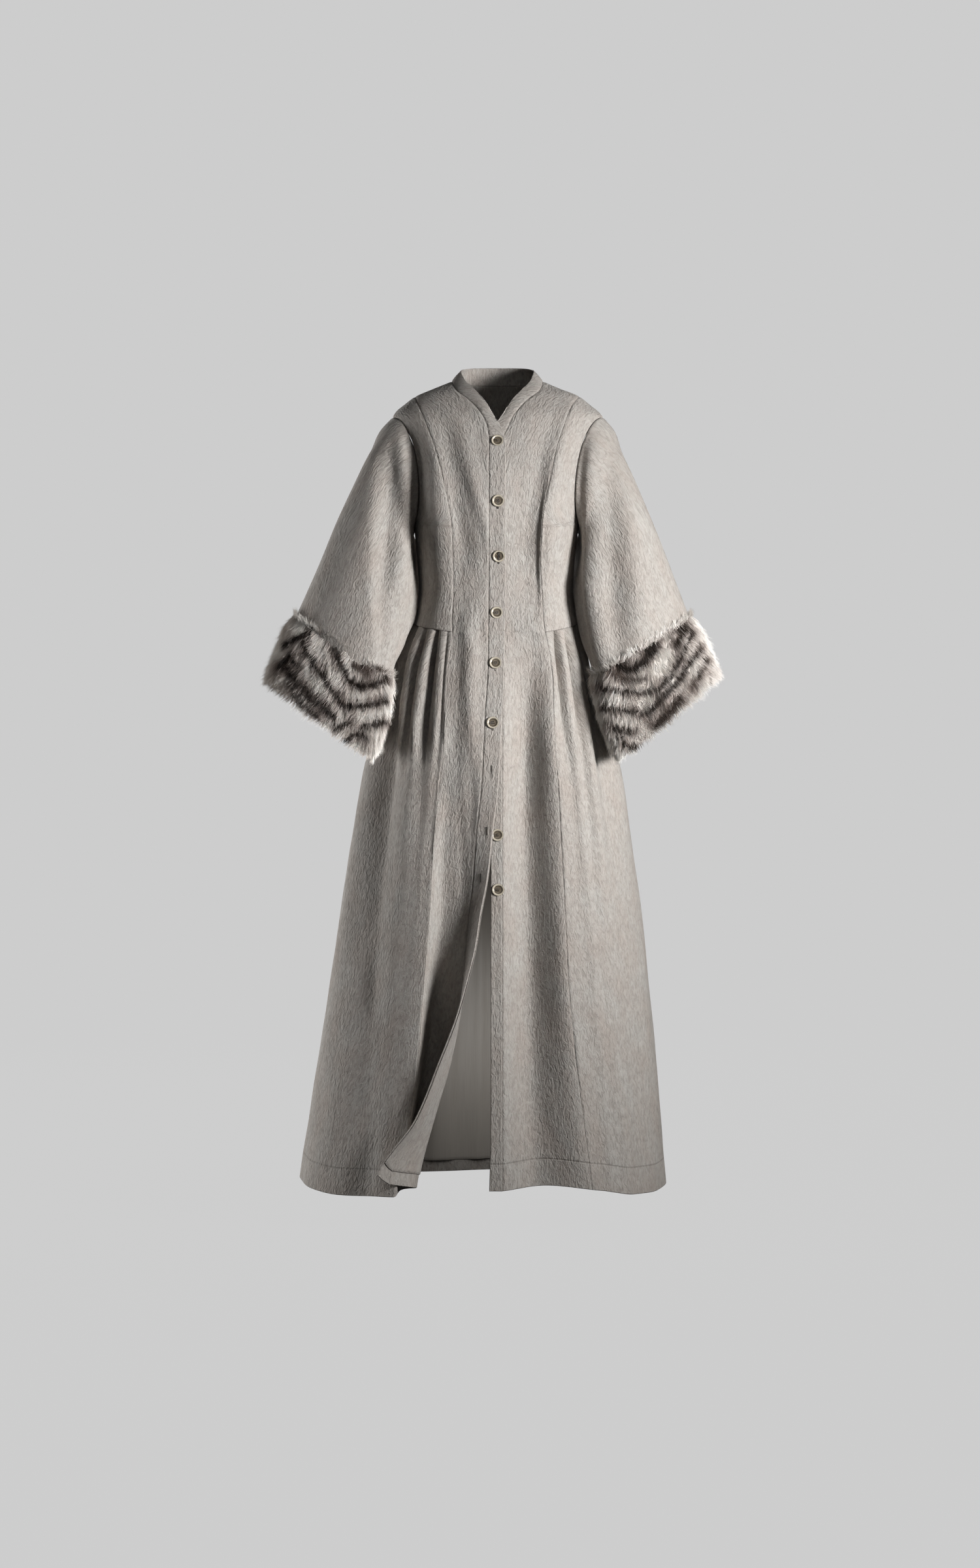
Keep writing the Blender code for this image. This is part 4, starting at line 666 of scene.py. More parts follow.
    def sleeve_rings(self, side: Side, count: int) -> Points:
        """The sleeve's ring of points at its head, its cap and each step down to the hem."""
        turns = np.linspace(0, 2 * math.pi, count, endpoint=False)
        step = turns * self.armhole_steps / math.pi
        back = step > self.armhole_steps
        step = np.where(back, 2 * self.armhole_steps - step, step)
        front_angle, z = self.armhole(side, step, False)
        back_angle, _ = self.armhole(side, step, True)
        angle = np.where(back, back_angle, front_angle)
        normal = self.surface_normal(angle, z)
        share = step / self.armhole_steps
        lap = self.sleeve_lap + self.underarm_lap * share ** 4
        head = self.bodice(angle, z) + normal * lap[:, None]
        rings = [self.sleeve_ring(side, k, turns) for k in SLEEVE_STEPS]
        rounding = self.cap_ease * np.cos(math.pi / 2 * share)
        cap = mix(head, rings[0], self.cap_share) + normal * rounding[:, None]
        return np.array([head, cap] + rings)


class Edge(Enum):
    """An edge of a sheet's grid."""

    TOP = "top"
    BOTTOM = "bottom"
    FIRST = "first"
    LAST = "last"


ALL_SEWN = frozenset(Edge)
HANGING = frozenset({Edge.TOP, Edge.FIRST, Edge.LAST})  # sewn on every edge but its hem
FAR = 500.0  # a distance in mm from any edge at which no edge is felt
SEWN_RIM = 0.04  # how far a sewn edge rounds out, in mm
FREE_RIM = 0.375  # how far a free edge rounds out, as a share of the cloth's thickness


def ladder(length: float, spacing: float, sewn: tuple[bool, bool] = (True, True)) -> Points:
    """Shares along a length, even in its middle and close together beside a sewn edge.

    Args:
        length: The real length in mm.
        spacing: The even step in mm.
        sewn: Whether the start and the end are sewn.

    Returns:
        Shares from 0 to 1.
    """
    seam, free = np.array([0.0, 0.8, 1.7, 2.9, 4.8]), np.array([0.0, 1.3])
    start, end = (seam if there else free for there in sewn)
    count = max(int(round((length - start[-1] - end[-1]) / spacing)), 3)
    inner = np.linspace(start[-1], length - end[-1], count + 1)
    places = np.concatenate([start[:-1], inner, (length - end[:-1])[::-1]])
    return places / length


def arc(grid: Points, axis: int) -> Points:
    """Length along the grid's lines, measured from their first points."""
    step = np.linalg.norm(np.diff(grid, axis=axis), axis=-1)
    start = np.zeros_like(np.take(step, [0], axis=axis))
    return np.concatenate([start, np.cumsum(step, axis=axis)], axis=axis)


def closed_round(values: Points) -> Points:
    """A tube's grid with its first column again after its last."""
    return np.concatenate([values, values[:, :1]], axis=1)


def grid_normals(grid: Points, wrap: bool = False) -> Points:
    """Direction square to the surface at each point of a grid."""
    across = np.roll(grid, -1, axis=1) - np.roll(grid, 1, axis=1) if wrap else np.gradient(grid, axis=1)
    return unit(np.cross(across, np.gradient(grid, axis=0)))


def outward(grid: Points, wrap: bool = False) -> Points:
    """The grid's normals, turned away from the coat's axis, or from a tube's own middle."""
    normals = grid_normals(grid, wrap)
    away = grid - grid.mean(axis=1, keepdims=True) if wrap else grid * np.array([1.0, 1.0, 0.0])
    return -normals if np.sum(normals * away) < 0 else normals


@dataclass(frozen=True)
class Waves:
    """The soft unevenness that a boiled cloth keeps after it is pressed and hung."""

    seed: int
    depth: float = 0.75
    shortest: float = 34.0
    longest: float = 150.0
    count: int = 14

    def __call__(self, u: Points, v: Points) -> Points:
        """How far the cloth stands proud at each place.

        Args:
            u: Distance across the cloth in mm.
            v: Distance down the cloth in mm.

        Returns:
            The rise in mm.
        """
        dice = np.random.default_rng(self.seed)
        total = np.zeros_like(u)
        for _ in range(self.count):
            length = dice.uniform(self.shortest, self.longest)
            lean = dice.normal(0.0, 0.42)
            wave = 2 * np.pi * (u * math.cos(lean) + v * math.sin(lean) * 0.55) / length
            drift = 1.3 * np.sin(2 * np.pi * v / dice.uniform(180, 420) + dice.uniform(0, 6.28))
            total += np.sin(wave + drift + dice.uniform(0, 6.28)) * math.sqrt(length / self.longest)
        return self.depth * total / math.sqrt(self.count)


@dataclass(frozen=True)
class Crease:
    """A crease seen from the front: its ends, half width, and depth (below 0 for a ridge)."""

    x0: float
    z0: float
    x1: float
    z1: float
    width: float
    depth: float

    def __call__(self, points: Points) -> Points:
        """How far the crease takes each point inwards."""
        start, end = np.array([self.x0, self.z0]), np.array([self.x1, self.z1])
        line = end - start
        flat = points[..., (0, 2)] - start
        t = np.clip(flat @ line / (line @ line), 0, 1)
        gap = np.linalg.norm(flat - t[..., None] * line, axis=-1)
        return self.depth * np.exp(-(gap / self.width) ** 2) * np.sin(np.pi * np.clip(t, 0.02, 0.98)) ** 0.6


# Soft creases on the fronts, then those that the hidden back has to match them
FRONT_CREASES = (
    Crease(-66, -150, -30, -300, 13, 2.6), Crease(-52, -130, -20, -240, 9, 1.4),
    Crease(-88, -205, -40, -330, 12, 1.6), Crease(-34, -240, -19, -350, 7, 1.3),
    Crease(30, -330, 80, -235, 14, 1.6), Crease(20, -380, 76, -330, 11, 1.3),
    Crease(82, -180, 70, -400, 9, 5.5), Crease(66, -200, 58, -400, 16, 2.2),
    Crease(-70, -392, -24, -352, 8, 1.4), Crease(-76, -420, -26, -392, 8, 1.3),
    Crease(-78, -445, -34, -432, 7, 1.1), Crease(24, -400, 78, -412, 8, 1.1),
    Crease(26, -365, 74, -384, 8, 1.1), Crease(20, -432, 72, -440, 8, 1.0),
    Crease(-100, -345, -134, -372, 9, 1.2), Crease(-96, -378, -138, -396, 9, 1.1),
    Crease(98, -350, 132, -372, 9, 1.2), Crease(94, -384, 130, -396, 9, 1.1),
    Crease(-60, -560, -40, -900, 8, 1.6), Crease(-72, -640, -58, -980, 7, 1.5),
    Crease(-44, -690, -36, -880, 5, 1.1), Crease(-50, -480, -36, -640, 12, 1.4),
    Crease(36, -500, 42, -900, 14, 1.5), Crease(46, -940, 60, -1380, 22, 2.2),
    Crease(30, -700, 34, -1200, 10, 0.9), Crease(110, -900, 150, -1400, 20, -2.0),
    Crease(-150, -900, -196, -1400, 16, 1.6), Crease(-190, -800, -255, -1400, 18, 2.0),
    Crease(-230, -1000, -300, -1400, 20, -2.2), Crease(190, -900, 240, -1400, 20, 1.8),
    Crease(-120, -110, -140, -200, 8, 1.2), Crease(118, -110, 136, -200, 8, 1.2),
)
BACK_CREASES = (
    Crease(-70, -120, -30, -300, 16, 2.0), Crease(70, -130, 34, -310, 16, 1.8),
    Crease(-84, -220, -46, -390, 12, 1.6), Crease(82, -230, 44, -386, 12, 1.6),
    Crease(-60, -370, 0, -404, 9, 1.5), Crease(62, -380, 4, -414, 9, 1.4),
    Crease(-66, -412, -8, -428, 8, 1.1), Crease(20, -500, 24, -900, 14, 1.6),
    Crease(-30, -560, -44, -1100, 18, 2.0), Crease(60, -700, 90, -1300, 20, 2.2),
    Crease(-110, -800, -160, -1400, 20, 2.0), Crease(130, -900, 190, -1400, 20, 1.8),
)


@dataclass(frozen=True)
class SoftFolds:
    """Soft upright folds of the front: crests and hollows as lines seen from the front.

    Each line holds its x and its rise (below 0 for a hollow) at every level. Lines stand from the
    wearer's right to the left, and the first and the last are flat.
    """

    levels: tuple[float, ...]
    lines: tuple[tuple[tuple[float, ...], tuple[float, ...]], ...]

    def __call__(self, points: Points) -> Points:
        """How far the folds bring each point forwards."""
        x, z = points[..., 0], points[..., 2]
        lines = [(Curve(self.levels, line[0])(z), Curve(self.levels, line[1])(z)) for line in self.lines]
        rise = np.zeros_like(x)
        for (a, rise_a), (b, rise_b) in zip(lines, lines[1:]):
            share = np.clip((x - a) / np.maximum(b - a, 1e-6), 0, 1)
            rise = np.where((x >= a) & (x < b), mix(rise_a, rise_b, (1 - np.cos(np.pi * share)) / 2), rise)
        return rise


BODY_FOLDS = SoftFolds((-50, -115, -161, -207, -254, -300, -346, -393, -439, -485, -578, -670, -780), (
    ((-170, -152, -146, -144, -146, -146, -144, -140, -150, -170, -190, -210, -240), (0,) * 13),
    ((-135, -122, -116, -113, -112, -110, -106, -104, -104, -104, -110, -120, -130),
     (0, 9, 14, 16, 16, 14, 9, 5, 2, 0, 0, 0, 0)),
    ((-98, -84, -76, -68, -62, -58, -62, -70, -76, -74, -74, -78, -90),
     (0, 0, -1, -2, -2, -2, 0, 0, 0, 0, 0, 0, 0)),
    ((-70, -59, -47, -36, -27, -24, -28, -40, -54, -49, -49, -53, -64),
     (0, 4, 6, 6, 5, 3, 1, 2, 6, 8, 7, 4, 0)),
    ((-40, -34, -22, -15, -10, -8, -8, -14, -26, -22, -22, -26, -36), (0,) * 13),
    ((20, 20, 12, 10, 8, 8, 8, 10, 12, 14, 14, 14, 14), (0,) * 13),
    ((98, 78, 68, 58, 50, 48, 48, 48, 50, 52, 54, 54, 54),
     (0, -5, -8, -9, -9, -8, -5, -3, -1, 0, 0, 0, 0)),
    ((131, 118, 107, 99, 92, 91, 93, 96, 97, 98, 98, 98, 98),
     (3, 7, 10, 12, 12, 12, 8, 6, 3, 0, 0, 0, 0)),
    ((165, 142, 139, 138, 137, 136, 134, 134, 140, 160, 170, 180, 190), (0,) * 13),
))
SLEEVE_LEVELS = (-80, -115, -161, -207, -254, -300, -346, -393, -439, -485, -560)
SLEEVE_FOLDS = {
    Side.RIGHT: SoftFolds(SLEEVE_LEVELS, (
        ((-260, -262, -270, -290, -310, -330, -352, -375, -398, -420, -450), (0,) * 11),
        ((-216, -222, -226, -227, -229, -230, -230, -228, -226, -223, -223),
         (0, 3, 6, 8, 10, 11, 11, 11, 10, 8, 0)),
        ((-192, -192, -192, -194, -196, -199, -203, -206, -204, -204, -208),
         (0, -3, -5, -6, -6, -6, -4, 0, 0, 0, 0)),
        ((-176, -172, -166, -163, -165, -169, -176, -184, -190, -194, -204),
         (0, 4, 6, 7, 7, 6, 3, 0, 0, 0, 0)),
        ((-150, -150, -148, -148, -150, -154, -160, -168, -176, -184, -200), (0,) * 11),
    )),
    Side.LEFT: SoftFolds(SLEEVE_LEVELS, (
        ((145, 146, 147, 148, 148, 148, 150, 152, 158, 166, 180), (0,) * 11),
        ((165, 163, 162, 161, 161, 161, 162, 164, 169, 177, 190), (0, 5, 8, 9, 10, 10, 10, 10, 8, 6, 0)),
        ((196, 198, 200, 202, 202, 202, 203, 205, 208, 212, 220),
         (0, -2, -3, -4, -5, -5, -5, -5, -4, -3, 0)),
        ((222, 228, 234, 237, 240, 243, 247, 251, 255, 257, 260), (0, 1, 3, 4, 5, 6, 7, 7, 6, 4, 0)),
        ((250, 255, 268, 285, 300, 318, 336, 354, 372, 390, 415), (0,) * 11),
    )),
}


def drape(points: Points) -> Points:
    """The body's points with the soft folds of its front."""
    rise = BODY_FOLDS(points) * (1 - ease(-20.0, 20.0, points[..., 1]))
    return points - np.stack([rise * 0, rise, rise * 0], -1)


def add_object(name: str, data: bpy.types.ID) -> bpy.types.Object:
    """Puts a mesh, a lamp or a camera into the scene."""
    made = bpy.data.objects.new(name, data)
    bpy.context.scene.collection.objects.link(made)
    return made


@dataclass
class Shell:
    """A closed skin between two matching grids of points, with a rounded rim."""

    name: str
    outer: Points
    inner: Points
    uv: tuple[Points, Points]
    wrap: bool = False
    bulge: Points = 0.0
    marks: dict[str, Points] = field(default_factory=dict)

    def loops(self) -> list[Points]:
        """The grid places round each open edge, in the order that the faces go round them."""
        rows, columns = self.outer.shape[:2]
        place = np.arange(rows * columns).reshape(rows, columns)
        if self.wrap:
            return [place[0], place[-1][::-1]]
        return [np.concatenate([place[0], place[1:, -1], place[-1, -2::-1], place[-2:0:-1, 0]])]

    def build(self) -> bpy.types.Object:
        """Makes the mesh object with its cloth map and marks."""
        rows, columns = self.outer.shape[:2]
        size = rows * columns
        place = np.arange(size).reshape(rows, columns)
        if self.wrap:
            place = closed_round(place)
        a, b, c, d = place[:-1, :-1], place[:-1, 1:], place[1:, 1:], place[1:, :-1]
        quads = np.stack([a, b, c, d], -1).reshape(-1, 4)
        u, v = self.uv
        corners = [(u[:-1, :-1], v[:-1, :-1]), (u[:-1, 1:], v[:-1, 1:]),
                   (u[1:, 1:], v[1:, 1:]), (u[1:, :-1], v[1:, :-1])]
        maps = np.stack([np.stack(pair, -1) for pair in corners], 2).reshape(-1, 4, 2)
        outer, inner = self.outer.reshape(-1, 3), self.inner.reshape(-1, 3)
        bulge = np.broadcast_to(self.bulge, self.outer.shape).reshape(-1, 3)
        faces, uvs, rim, start = [quads, quads[:, ::-1] + size], [maps, maps[:, ::-1]], [], 2 * size
        flat = np.stack([u[:, :columns], v[:, :columns]], -1).reshape(-1, 2)
        owners = [np.arange(size), np.arange(size)]
        for loop in self.loops():
            after = np.roll(loop, -1)
            here = start + np.arange(len(loop))
            there = np.roll(here, -1)
            middle = (outer[loop] + inner[loop]) / 2
            rim.append(middle + bulge[loop])
            faces.append(np.stack([after, loop, here, there], -1))
            faces.append(np.stack([there, here, loop + size, after + size], -1))
            edge = np.stack([flat[after], flat[loop], flat[loop], flat[after]], 1)
            if self.wrap:
                edge[-1] = edge[-2]
            uvs += [edge, edge]
            owners.append(loop)
            start += len(loop)
        faces, uvs = np.concatenate(faces), np.concatenate(uvs)
        if np.sum(grid_normals(self.outer, self.wrap) * (self.outer - self.inner)) < 0:
            faces, uvs = faces[:, ::-1], uvs[:, ::-1]
        points = np.concatenate([outer, inner] + rim) * MM
        mesh = bpy.data.meshes.new(self.name)
        mesh.from_pydata(points.tolist(), [], faces.tolist())
        layer = mesh.uv_layers.new(name="cloth")
        layer.data.foreach_set("uv", (uvs.reshape(-1, 2) * MM).astype(np.float32).ravel())
        owner = np.concatenate(owners)
        for name, values in self.marks.items():
            mark = mesh.attributes.new(name=name, type="FLOAT", domain="POINT")
            mark.data.foreach_set("value", values.ravel()[owner].astype(np.float32))
        mesh.shade_smooth()
        mesh.update()
        return add_object(self.name, mesh)


@dataclass
class Cloth:
    """A cut piece of cloth: the fine grid of its middle surface, and how its edges are finished."""

    name: str
    grid: Points
    thickness: float = 2.6
    wrap: bool = False
    sewn: frozenset = ALL_SEWN
    waves: Optional[Waves] = None
    creases: tuple[Crease, ...] = ()
    seam_dip: float = 0.85
    seam_reach: float = 3.4
    hem: Optional[Edge] = None
    held: str = "hung"
    soft: frozenset = frozenset()
    soft_below: float = -447.0

    def edge_gaps(self) -> dict[Edge, Points]:
        """Distance from every point to each edge, measured along the cloth."""
        down, across = arc(self.grid, 0), arc(self.grid, 1)
        far = np.full(self.grid.shape[:2], FAR)
        return {
            Edge.TOP: down, Edge.BOTTOM: down[-1:] - down,
            Edge.FIRST: far if self.wrap else across,
            Edge.LAST: far if self.wrap else across[:, -1:] - across,
        }

    def whole(self) -> Points:
        """The grid, closed round if the piece is a tube."""
        return closed_round(self.grid) if self.wrap else self.grid

    def cloth_map(self) -> tuple[Points, Points]:
        """Distances across the cloth from its middle column and down that column, in mm."""
        grid, middle = self.whole(), self.grid.shape[1] // 2
        across, down = arc(grid, 1), arc(grid, 0)[:, middle:middle + 1]
        return across - across[:, middle:middle + 1], down + np.zeros_like(across)

    def unevenness(self, u: Points, v: Points, seam: Points) -> Points:
        """How far the waves and creases take the cloth outwards: they die away at its seams."""
        columns = self.grid.shape[1]
        lift = np.zeros_like(seam)
        if self.waves:
            around = 1.0
            if self.wrap:
                across = arc(self.whole(), 1)
                share = across[:, :-1] / across[:, -1:]
                around = ease(0, 0.06, np.minimum(share, 1 - share))
            lift += self.waves(u[:, :columns], v[:, :columns]) * ease(3, 34, seam) * around
        for crease in self.creases:
            lift -= crease(self.grid) * ease(0, 9, seam)
        return lift

    def rounding(self) -> Points:
        """How far each edge stands out past the cloth's two faces."""
        rim = np.zeros_like(self.grid)
        edges = (Edge.TOP, Edge.BOTTOM) if self.wrap else tuple(Edge)
        for edge in edges:
            axis = 0 if edge in (Edge.TOP, Edge.BOTTOM) else 1
            end, inwards = (0, 1) if edge in (Edge.TOP, Edge.FIRST) else (-1, -2)
            lines = np.moveaxis(self.grid, axis, 0)
            step = unit(lines[end] - lines[inwards])
            reach = SEWN_RIM if edge in self.sewn else FREE_RIM * self.thickness
            np.moveaxis(rim, axis, 0)[end] += step * reach
        return rim

    def build(self) -> bpy.types.Object:
        gaps = self.edge_gaps()
        for edge in self.soft:
            gaps[edge] = gaps[edge] + 40 * ease(self.soft_below, self.soft_below - 30, self.grid[..., 2])
        sewn = [gaps[edge] for edge in Edge if edge in self.sewn]
        seam = np.minimum.reduce(sewn) if sewn else np.full(self.grid.shape[:2], FAR)
        u, v = self.cloth_map()
        normals, rim = outward(self.grid, self.wrap), self.rounding()
        grid = self.grid + normals * self.unevenness(u, v, seam)[..., None] - rim
        half = self.thickness / 2
        dip = self.seam_dip * (1 - ease(0.0, self.seam_reach, seam))
        marks = {"seam_mm": seam, "hem_mm": gaps[self.hem] if self.hem else np.full_like(seam, FAR)}
        piece = Shell(self.name, grid + normals * (half - dip)[..., None], grid - normals * half, (u, v),
                      self.wrap, rim, marks).build()
        return piece


def srgb(code: str) -> tuple[float, float, float, float]:
    """Turns an sRGB hex colour into linear RGBA."""
    parts = [int(code[k:k + 2], 16) / 255 for k in (1, 3, 5)]
    linear = [c / 12.92 if c <= 0.04045 else ((c + 0.055) / 1.055) ** 2.4 for c in parts]
    return (*linear, 1.0)


def set_inputs(tree: bpy.types.NodeTree, node: bpy.types.Node, inputs: dict) -> None:
    """Links an output to each named or numbered input of a node, or gives it its value."""
    for name, value in inputs.items():
        if isinstance(value, bpy.types.NodeSocket):
            tree.links.new(value, node.inputs[name])
        else:
            node.inputs[name].default_value = value


def add_node(tree: bpy.types.NodeTree, kind: str, inputs: Optional[dict] = None,
             **settings: object) -> bpy.types.Node:
    """Adds a shader node.

    Args:
        tree: The material's node tree.
        kind: The node's type.
        inputs: A value or an output to link for each named or numbered input.
        settings: The node's own properties.

    Returns:
        The node.
    """
    made = tree.nodes.new(kind)
    for name, value in settings.items():
        setattr(made, name, value)
    set_inputs(tree, made, inputs or {})
    return made


def new_material(name: str) -> tuple[bpy.types.Material, bpy.types.NodeTree, bpy.types.Node]:
    """A material with its node tree and its shader."""
    material = bpy.data.materials.new(name)
    material.use_nodes = True
    tree = material.node_tree
    return material, tree, tree.nodes["Principled BSDF"]


@dataclass(frozen=True)
class BoiledWool:
    """Boiled, brushed wool: matt and felted, with a short nap that lies in small upright ripples."""

    name: str = "boiled_wool"
    light: str = "#b0aca7"
    dark: str = "#96918a"
    blush: str = "#a9a099"
    ripple_across: float = 4.3
    ripple_down: float = 11.0
    fibre_across: float = 1.3  # real fibres are finer than a pixel, so they are drawn this coarse
    fibre_down: float = 4.2
    ripple_depth: float = 2.6
    stitch_above_hem: float = 47.0
    # painted shade: the colour that the hollows of the ripples darken towards
    hollow: str = "#665f58"
    # painted highlight: the colour of the wool where its fibre bump stands highest
    fibre_highlight: str = "#cfcac3"
    # painted shade: the colour that the cloth darkens towards beside each seam
    seam_shade: str = "#4a443e"
    stitch_line: str = "#5d564f"

    def build(self) -> bpy.types.Material:
        """Makes the material."""
        material, tree, shader = new_material(self.name)
        cloth = add_node(tree, "ShaderNodeUVMap", uv_map="cloth").outputs[0]

        def pattern(across: float, down: float, detail: float,
                    twist: float = 0.0) -> bpy.types.NodeSocket:
            """Noise with a grain of the given size in mm."""
            place = add_node(tree, "ShaderNodeMapping",
                             {"Vector": cloth, "Scale": (1000 / across, 1000 / down, 1.0)})
            return add_node(tree, "ShaderNodeTexNoise",
                            {"Vector": place.outputs[0], "Scale": 1.0, "Detail": detail,
                             "Roughness": 0.55, "Distortion": twist}).outputs["Fac"]

        def between(value: bpy.types.NodeSocket, low: float, high: float,
                    start: float = 0.0, end: float = 1.0) -> bpy.types.NodeSocket:
            """The value mapped from one range to another, and held there."""
            return add_node(tree, "ShaderNodeMapRange",
                            {"Value": value, "From Min": low, "From Max": high,
                             "To Min": start, "To Max": end}).outputs[0]

        def blend(share: bpy.types.NodeSocket, first: object, second: object,
                  kind: str = "MIX") -> bpy.types.NodeSocket:
            """Two colours mixed by a share."""
            return add_node(tree, "ShaderNodeMix", {0: share, 6: first, 7: second},
                            data_type="RGBA", blend_type=kind).outputs[2]

        def sum_of(kind: str, first: object, second: object) -> bpy.types.NodeSocket:
            """A sum on two numbers."""
            return add_node(tree, "ShaderNodeMath", {0: first, 1: second}, operation=kind).outputs[0]

        ripple = pattern(self.ripple_across, self.ripple_down, 2.5, 0.9)
        fibre = pattern(self.fibre_across, self.fibre_down, 3.0)
        cloud = pattern(46.0, 90.0, 4.0)
        heather = pattern(9.0, 16.0, 3.0)
        colour = blend(between(cloud, 0.35, 0.65), srgb(self.light), srgb(self.blush))
        colour = blend(between(heather, 0.30, 0.70, 0.0, 0.55), colour, srgb(self.dark))
        # Painted shade in the hollows of the ripples, where their bump is lowest
        colour = blend(between(ripple, 0.36, 0.56, 0.30, 0.0), colour, srgb(self.hollow))
        # Painted highlight on the raised fibres, where the fibre bump is highest
        colour = blend(between(fibre, 0.50, 0.78, 0.0, 0.20), colour, srgb(self.fibre_highlight))
        seam = add_node(tree, "ShaderNodeAttribute", attribute_name="seam_mm").outputs["Fac"]
        hem = add_node(tree, "ShaderNodeAttribute", attribute_name="hem_mm").outputs["Fac"]
        # Painted shade along the seams, within about a millimetre of each sewn edge
        seam_shade_share = between(seam, 0.2, 1.1, 1.0, 0.0)
        colour = blend(sum_of("MULTIPLY", seam_shade_share, 0.35), colour, srgb(self.seam_shade))
        stitch = sum_of("ABSOLUTE", sum_of("SUBTRACT", hem, self.stitch_above_hem), 0.0)
        stitch = between(stitch, 0.5, 2.2, 1.0, 0.0)
        colour = blend(sum_of("MULTIPLY", stitch, 0.22), colour, srgb(self.stitch_line))
        pucker = sum_of("MULTIPLY", between(seam, 2.0, 16.0, 1.0, 0.0), pattern(7.0, 9.0, 1.0))
        height = sum_of("MULTIPLY", ripple, self.ripple_depth)
        height = sum_of("ADD", height, sum_of("MULTIPLY", fibre, 0.16))
        height = sum_of("ADD", height, sum_of("MULTIPLY", pucker, 0.9))
        height = sum_of("SUBTRACT", height, sum_of("MULTIPLY", stitch, 0.75))
        bump = add_node(tree, "ShaderNodeBump", {"Height": height, "Strength": 1.0, "Distance": MM})
        set_inputs(tree, shader, {
            "Base Color": colour, "Normal": bump.outputs[0], "Roughness": 0.94,
            "Specular IOR Level": 0.22, "Sheen Weight": 0.10, "Sheen Roughness": 0.45})
        return material


@dataclass(frozen=True)
class LiningSatin:
    """Woven acetate satin: smooth, with a soft broad shine and faint lines along its warp."""

    name: str = "lining_satin"
    colour: str = "#b0aaa2"
    shade: str = "#9c968e"
    warp: float = 0.9  # a satin's threads are 0.1 mm apart, drawn this coarse so that they show

    def build(self) -> bpy.types.Material:
        """Makes the material."""
        material, tree, shader = new_material(self.name)
        cloth = add_node(tree, "ShaderNodeUVMap", uv_map="cloth").outputs[0]
        place = add_node(tree, "ShaderNodeMapping",
                         {"Vector": cloth, "Scale": (1000 / self.warp, 1000 / 60.0, 1.0)})
        threads = add_node(tree, "ShaderNodeTexNoise",
                           {"Vector": place.outputs[0], "Scale": 1.0, "Detail": 2.0}).outputs["Fac"]
        colour = add_node(tree, "ShaderNodeMix",
                          {0: threads, 6: srgb(self.colour), 7: srgb(self.shade)}, data_type="RGBA")
        bump = add_node(tree, "ShaderNodeBump",
                        {"Height": threads, "Strength": 0.35, "Distance": 0.05 * MM})
        set_inputs(tree, shader, {
            "Base Color": colour.outputs[2], "Normal": bump.outputs[0], "Roughness": 0.42,
            "Specular IOR Level": 0.45, "Anisotropic": 0.5})
        return material


@dataclass(frozen=True)
class LongFur:
    """Long undyed fur: soft, silky hair in pointed tufts, pale with natural brown stripes."""

    name: str = "long_fur"

    def build(self) -> bpy.types.Material:
        """Makes the material, which takes its colour from each hair."""
        material, tree, shader = new_material(self.name)
        hair = add_node(tree, "ShaderNodeAttribute", attribute_name="hair").outputs["Color"]
        set_inputs(tree, shader, {"Base Color": hair, "Roughness": 0.58, "Specular IOR Level": 0.3,
                                  "Sheen Weight": 0.25, "Sheen Roughness": 0.4})
        return material


@dataclass(frozen=True)
class PolishedHorn:
    """Turned and polished horn: mottled in pale and brown streaks, darker in its dish and rim."""

    name: str = "polished_horn"
    pale: str = "#c9c2b4"
    brown: str = "#756c5f"
    edge: str = "#443c32"
    mottling: str = "#81786a"
    radius: float = 11.0

    def build(self) -> bpy.types.Material:
        """Makes the material, which reads the distance from each button's middle."""
        material, tree, shader = new_material(self.name)
        out = add_node(tree, "ShaderNodeAttribute", attribute_name="radius_mm").outputs["Fac"]
        place = add_node(tree, "ShaderNodeTexCoord").outputs["Object"]
        streak = add_node(tree, "ShaderNodeMapping", {"Vector": place, "Scale": (220.0, 220.0, 620.0)})
        mottle = add_node(tree, "ShaderNodeTexNoise",
                          {"Vector": streak.outputs[0], "Scale": 1.0, "Detail": 4.0,
                           "Distortion": 1.2}).outputs["Fac"]
        share = add_node(tree, "ShaderNodeMapRange",
                         {"Value": out, "From Min": 0.0, "From Max": self.radius})
        ramp = add_node(tree, "ShaderNodeValToRGB", {0: share.outputs[0]})
        stops = ((0.0, self.brown), (0.50, self.brown), (0.62, self.edge), (0.72, self.pale),
                 (0.90, self.pale), (1.0, self.edge))
        ramp.color_ramp.elements[0].color = srgb(stops[0][1])
        ramp.color_ramp.elements[1].color = srgb(stops[-1][1])
        for place_on, code in stops[1:-1]:
            ramp.color_ramp.elements.new(place_on).color = srgb(code)
        colour = add_node(tree, "ShaderNodeMix",
                          {0: mottle, 6: ramp.outputs[0], 7: srgb(self.mottling)},
                          data_type="RGBA", blend_type="SOFT_LIGHT")
        set_inputs(tree, shader, {"Base Color": colour.outputs[2], "Roughness": 0.3,
                                  "Coat Weight": 0.25, "Coat Roughness": 0.15})
        return material


@dataclass(frozen=True)
class SewingThread:
    """Twisted polyester thread: smooth and slightly shiny, a shade darker than the cloth."""

    name: str = "sewing_thread"
    colour: str = "#4a443e"
    twist: str = "#3d3832"

    def build(self) -> bpy.types.Material:
        """Makes the material."""
        material, tree, shader = new_material(self.name)
        place = add_node(tree, "ShaderNodeTexCoord").outputs["Object"]
        twist = add_node(tree, "ShaderNodeTexWave", {"Vector": place, "Scale": 900.0},
                         bands_direction="DIAGONAL")
        colour = add_node(tree, "ShaderNodeMix",
                          {0: twist.outputs["Fac"], 6: srgb(self.colour), 7: srgb(self.twist)},
                          data_type="RGBA")
        set_inputs(tree, shader, {"Base Color": colour.outputs[2], "Roughness": 0.6})
        return material


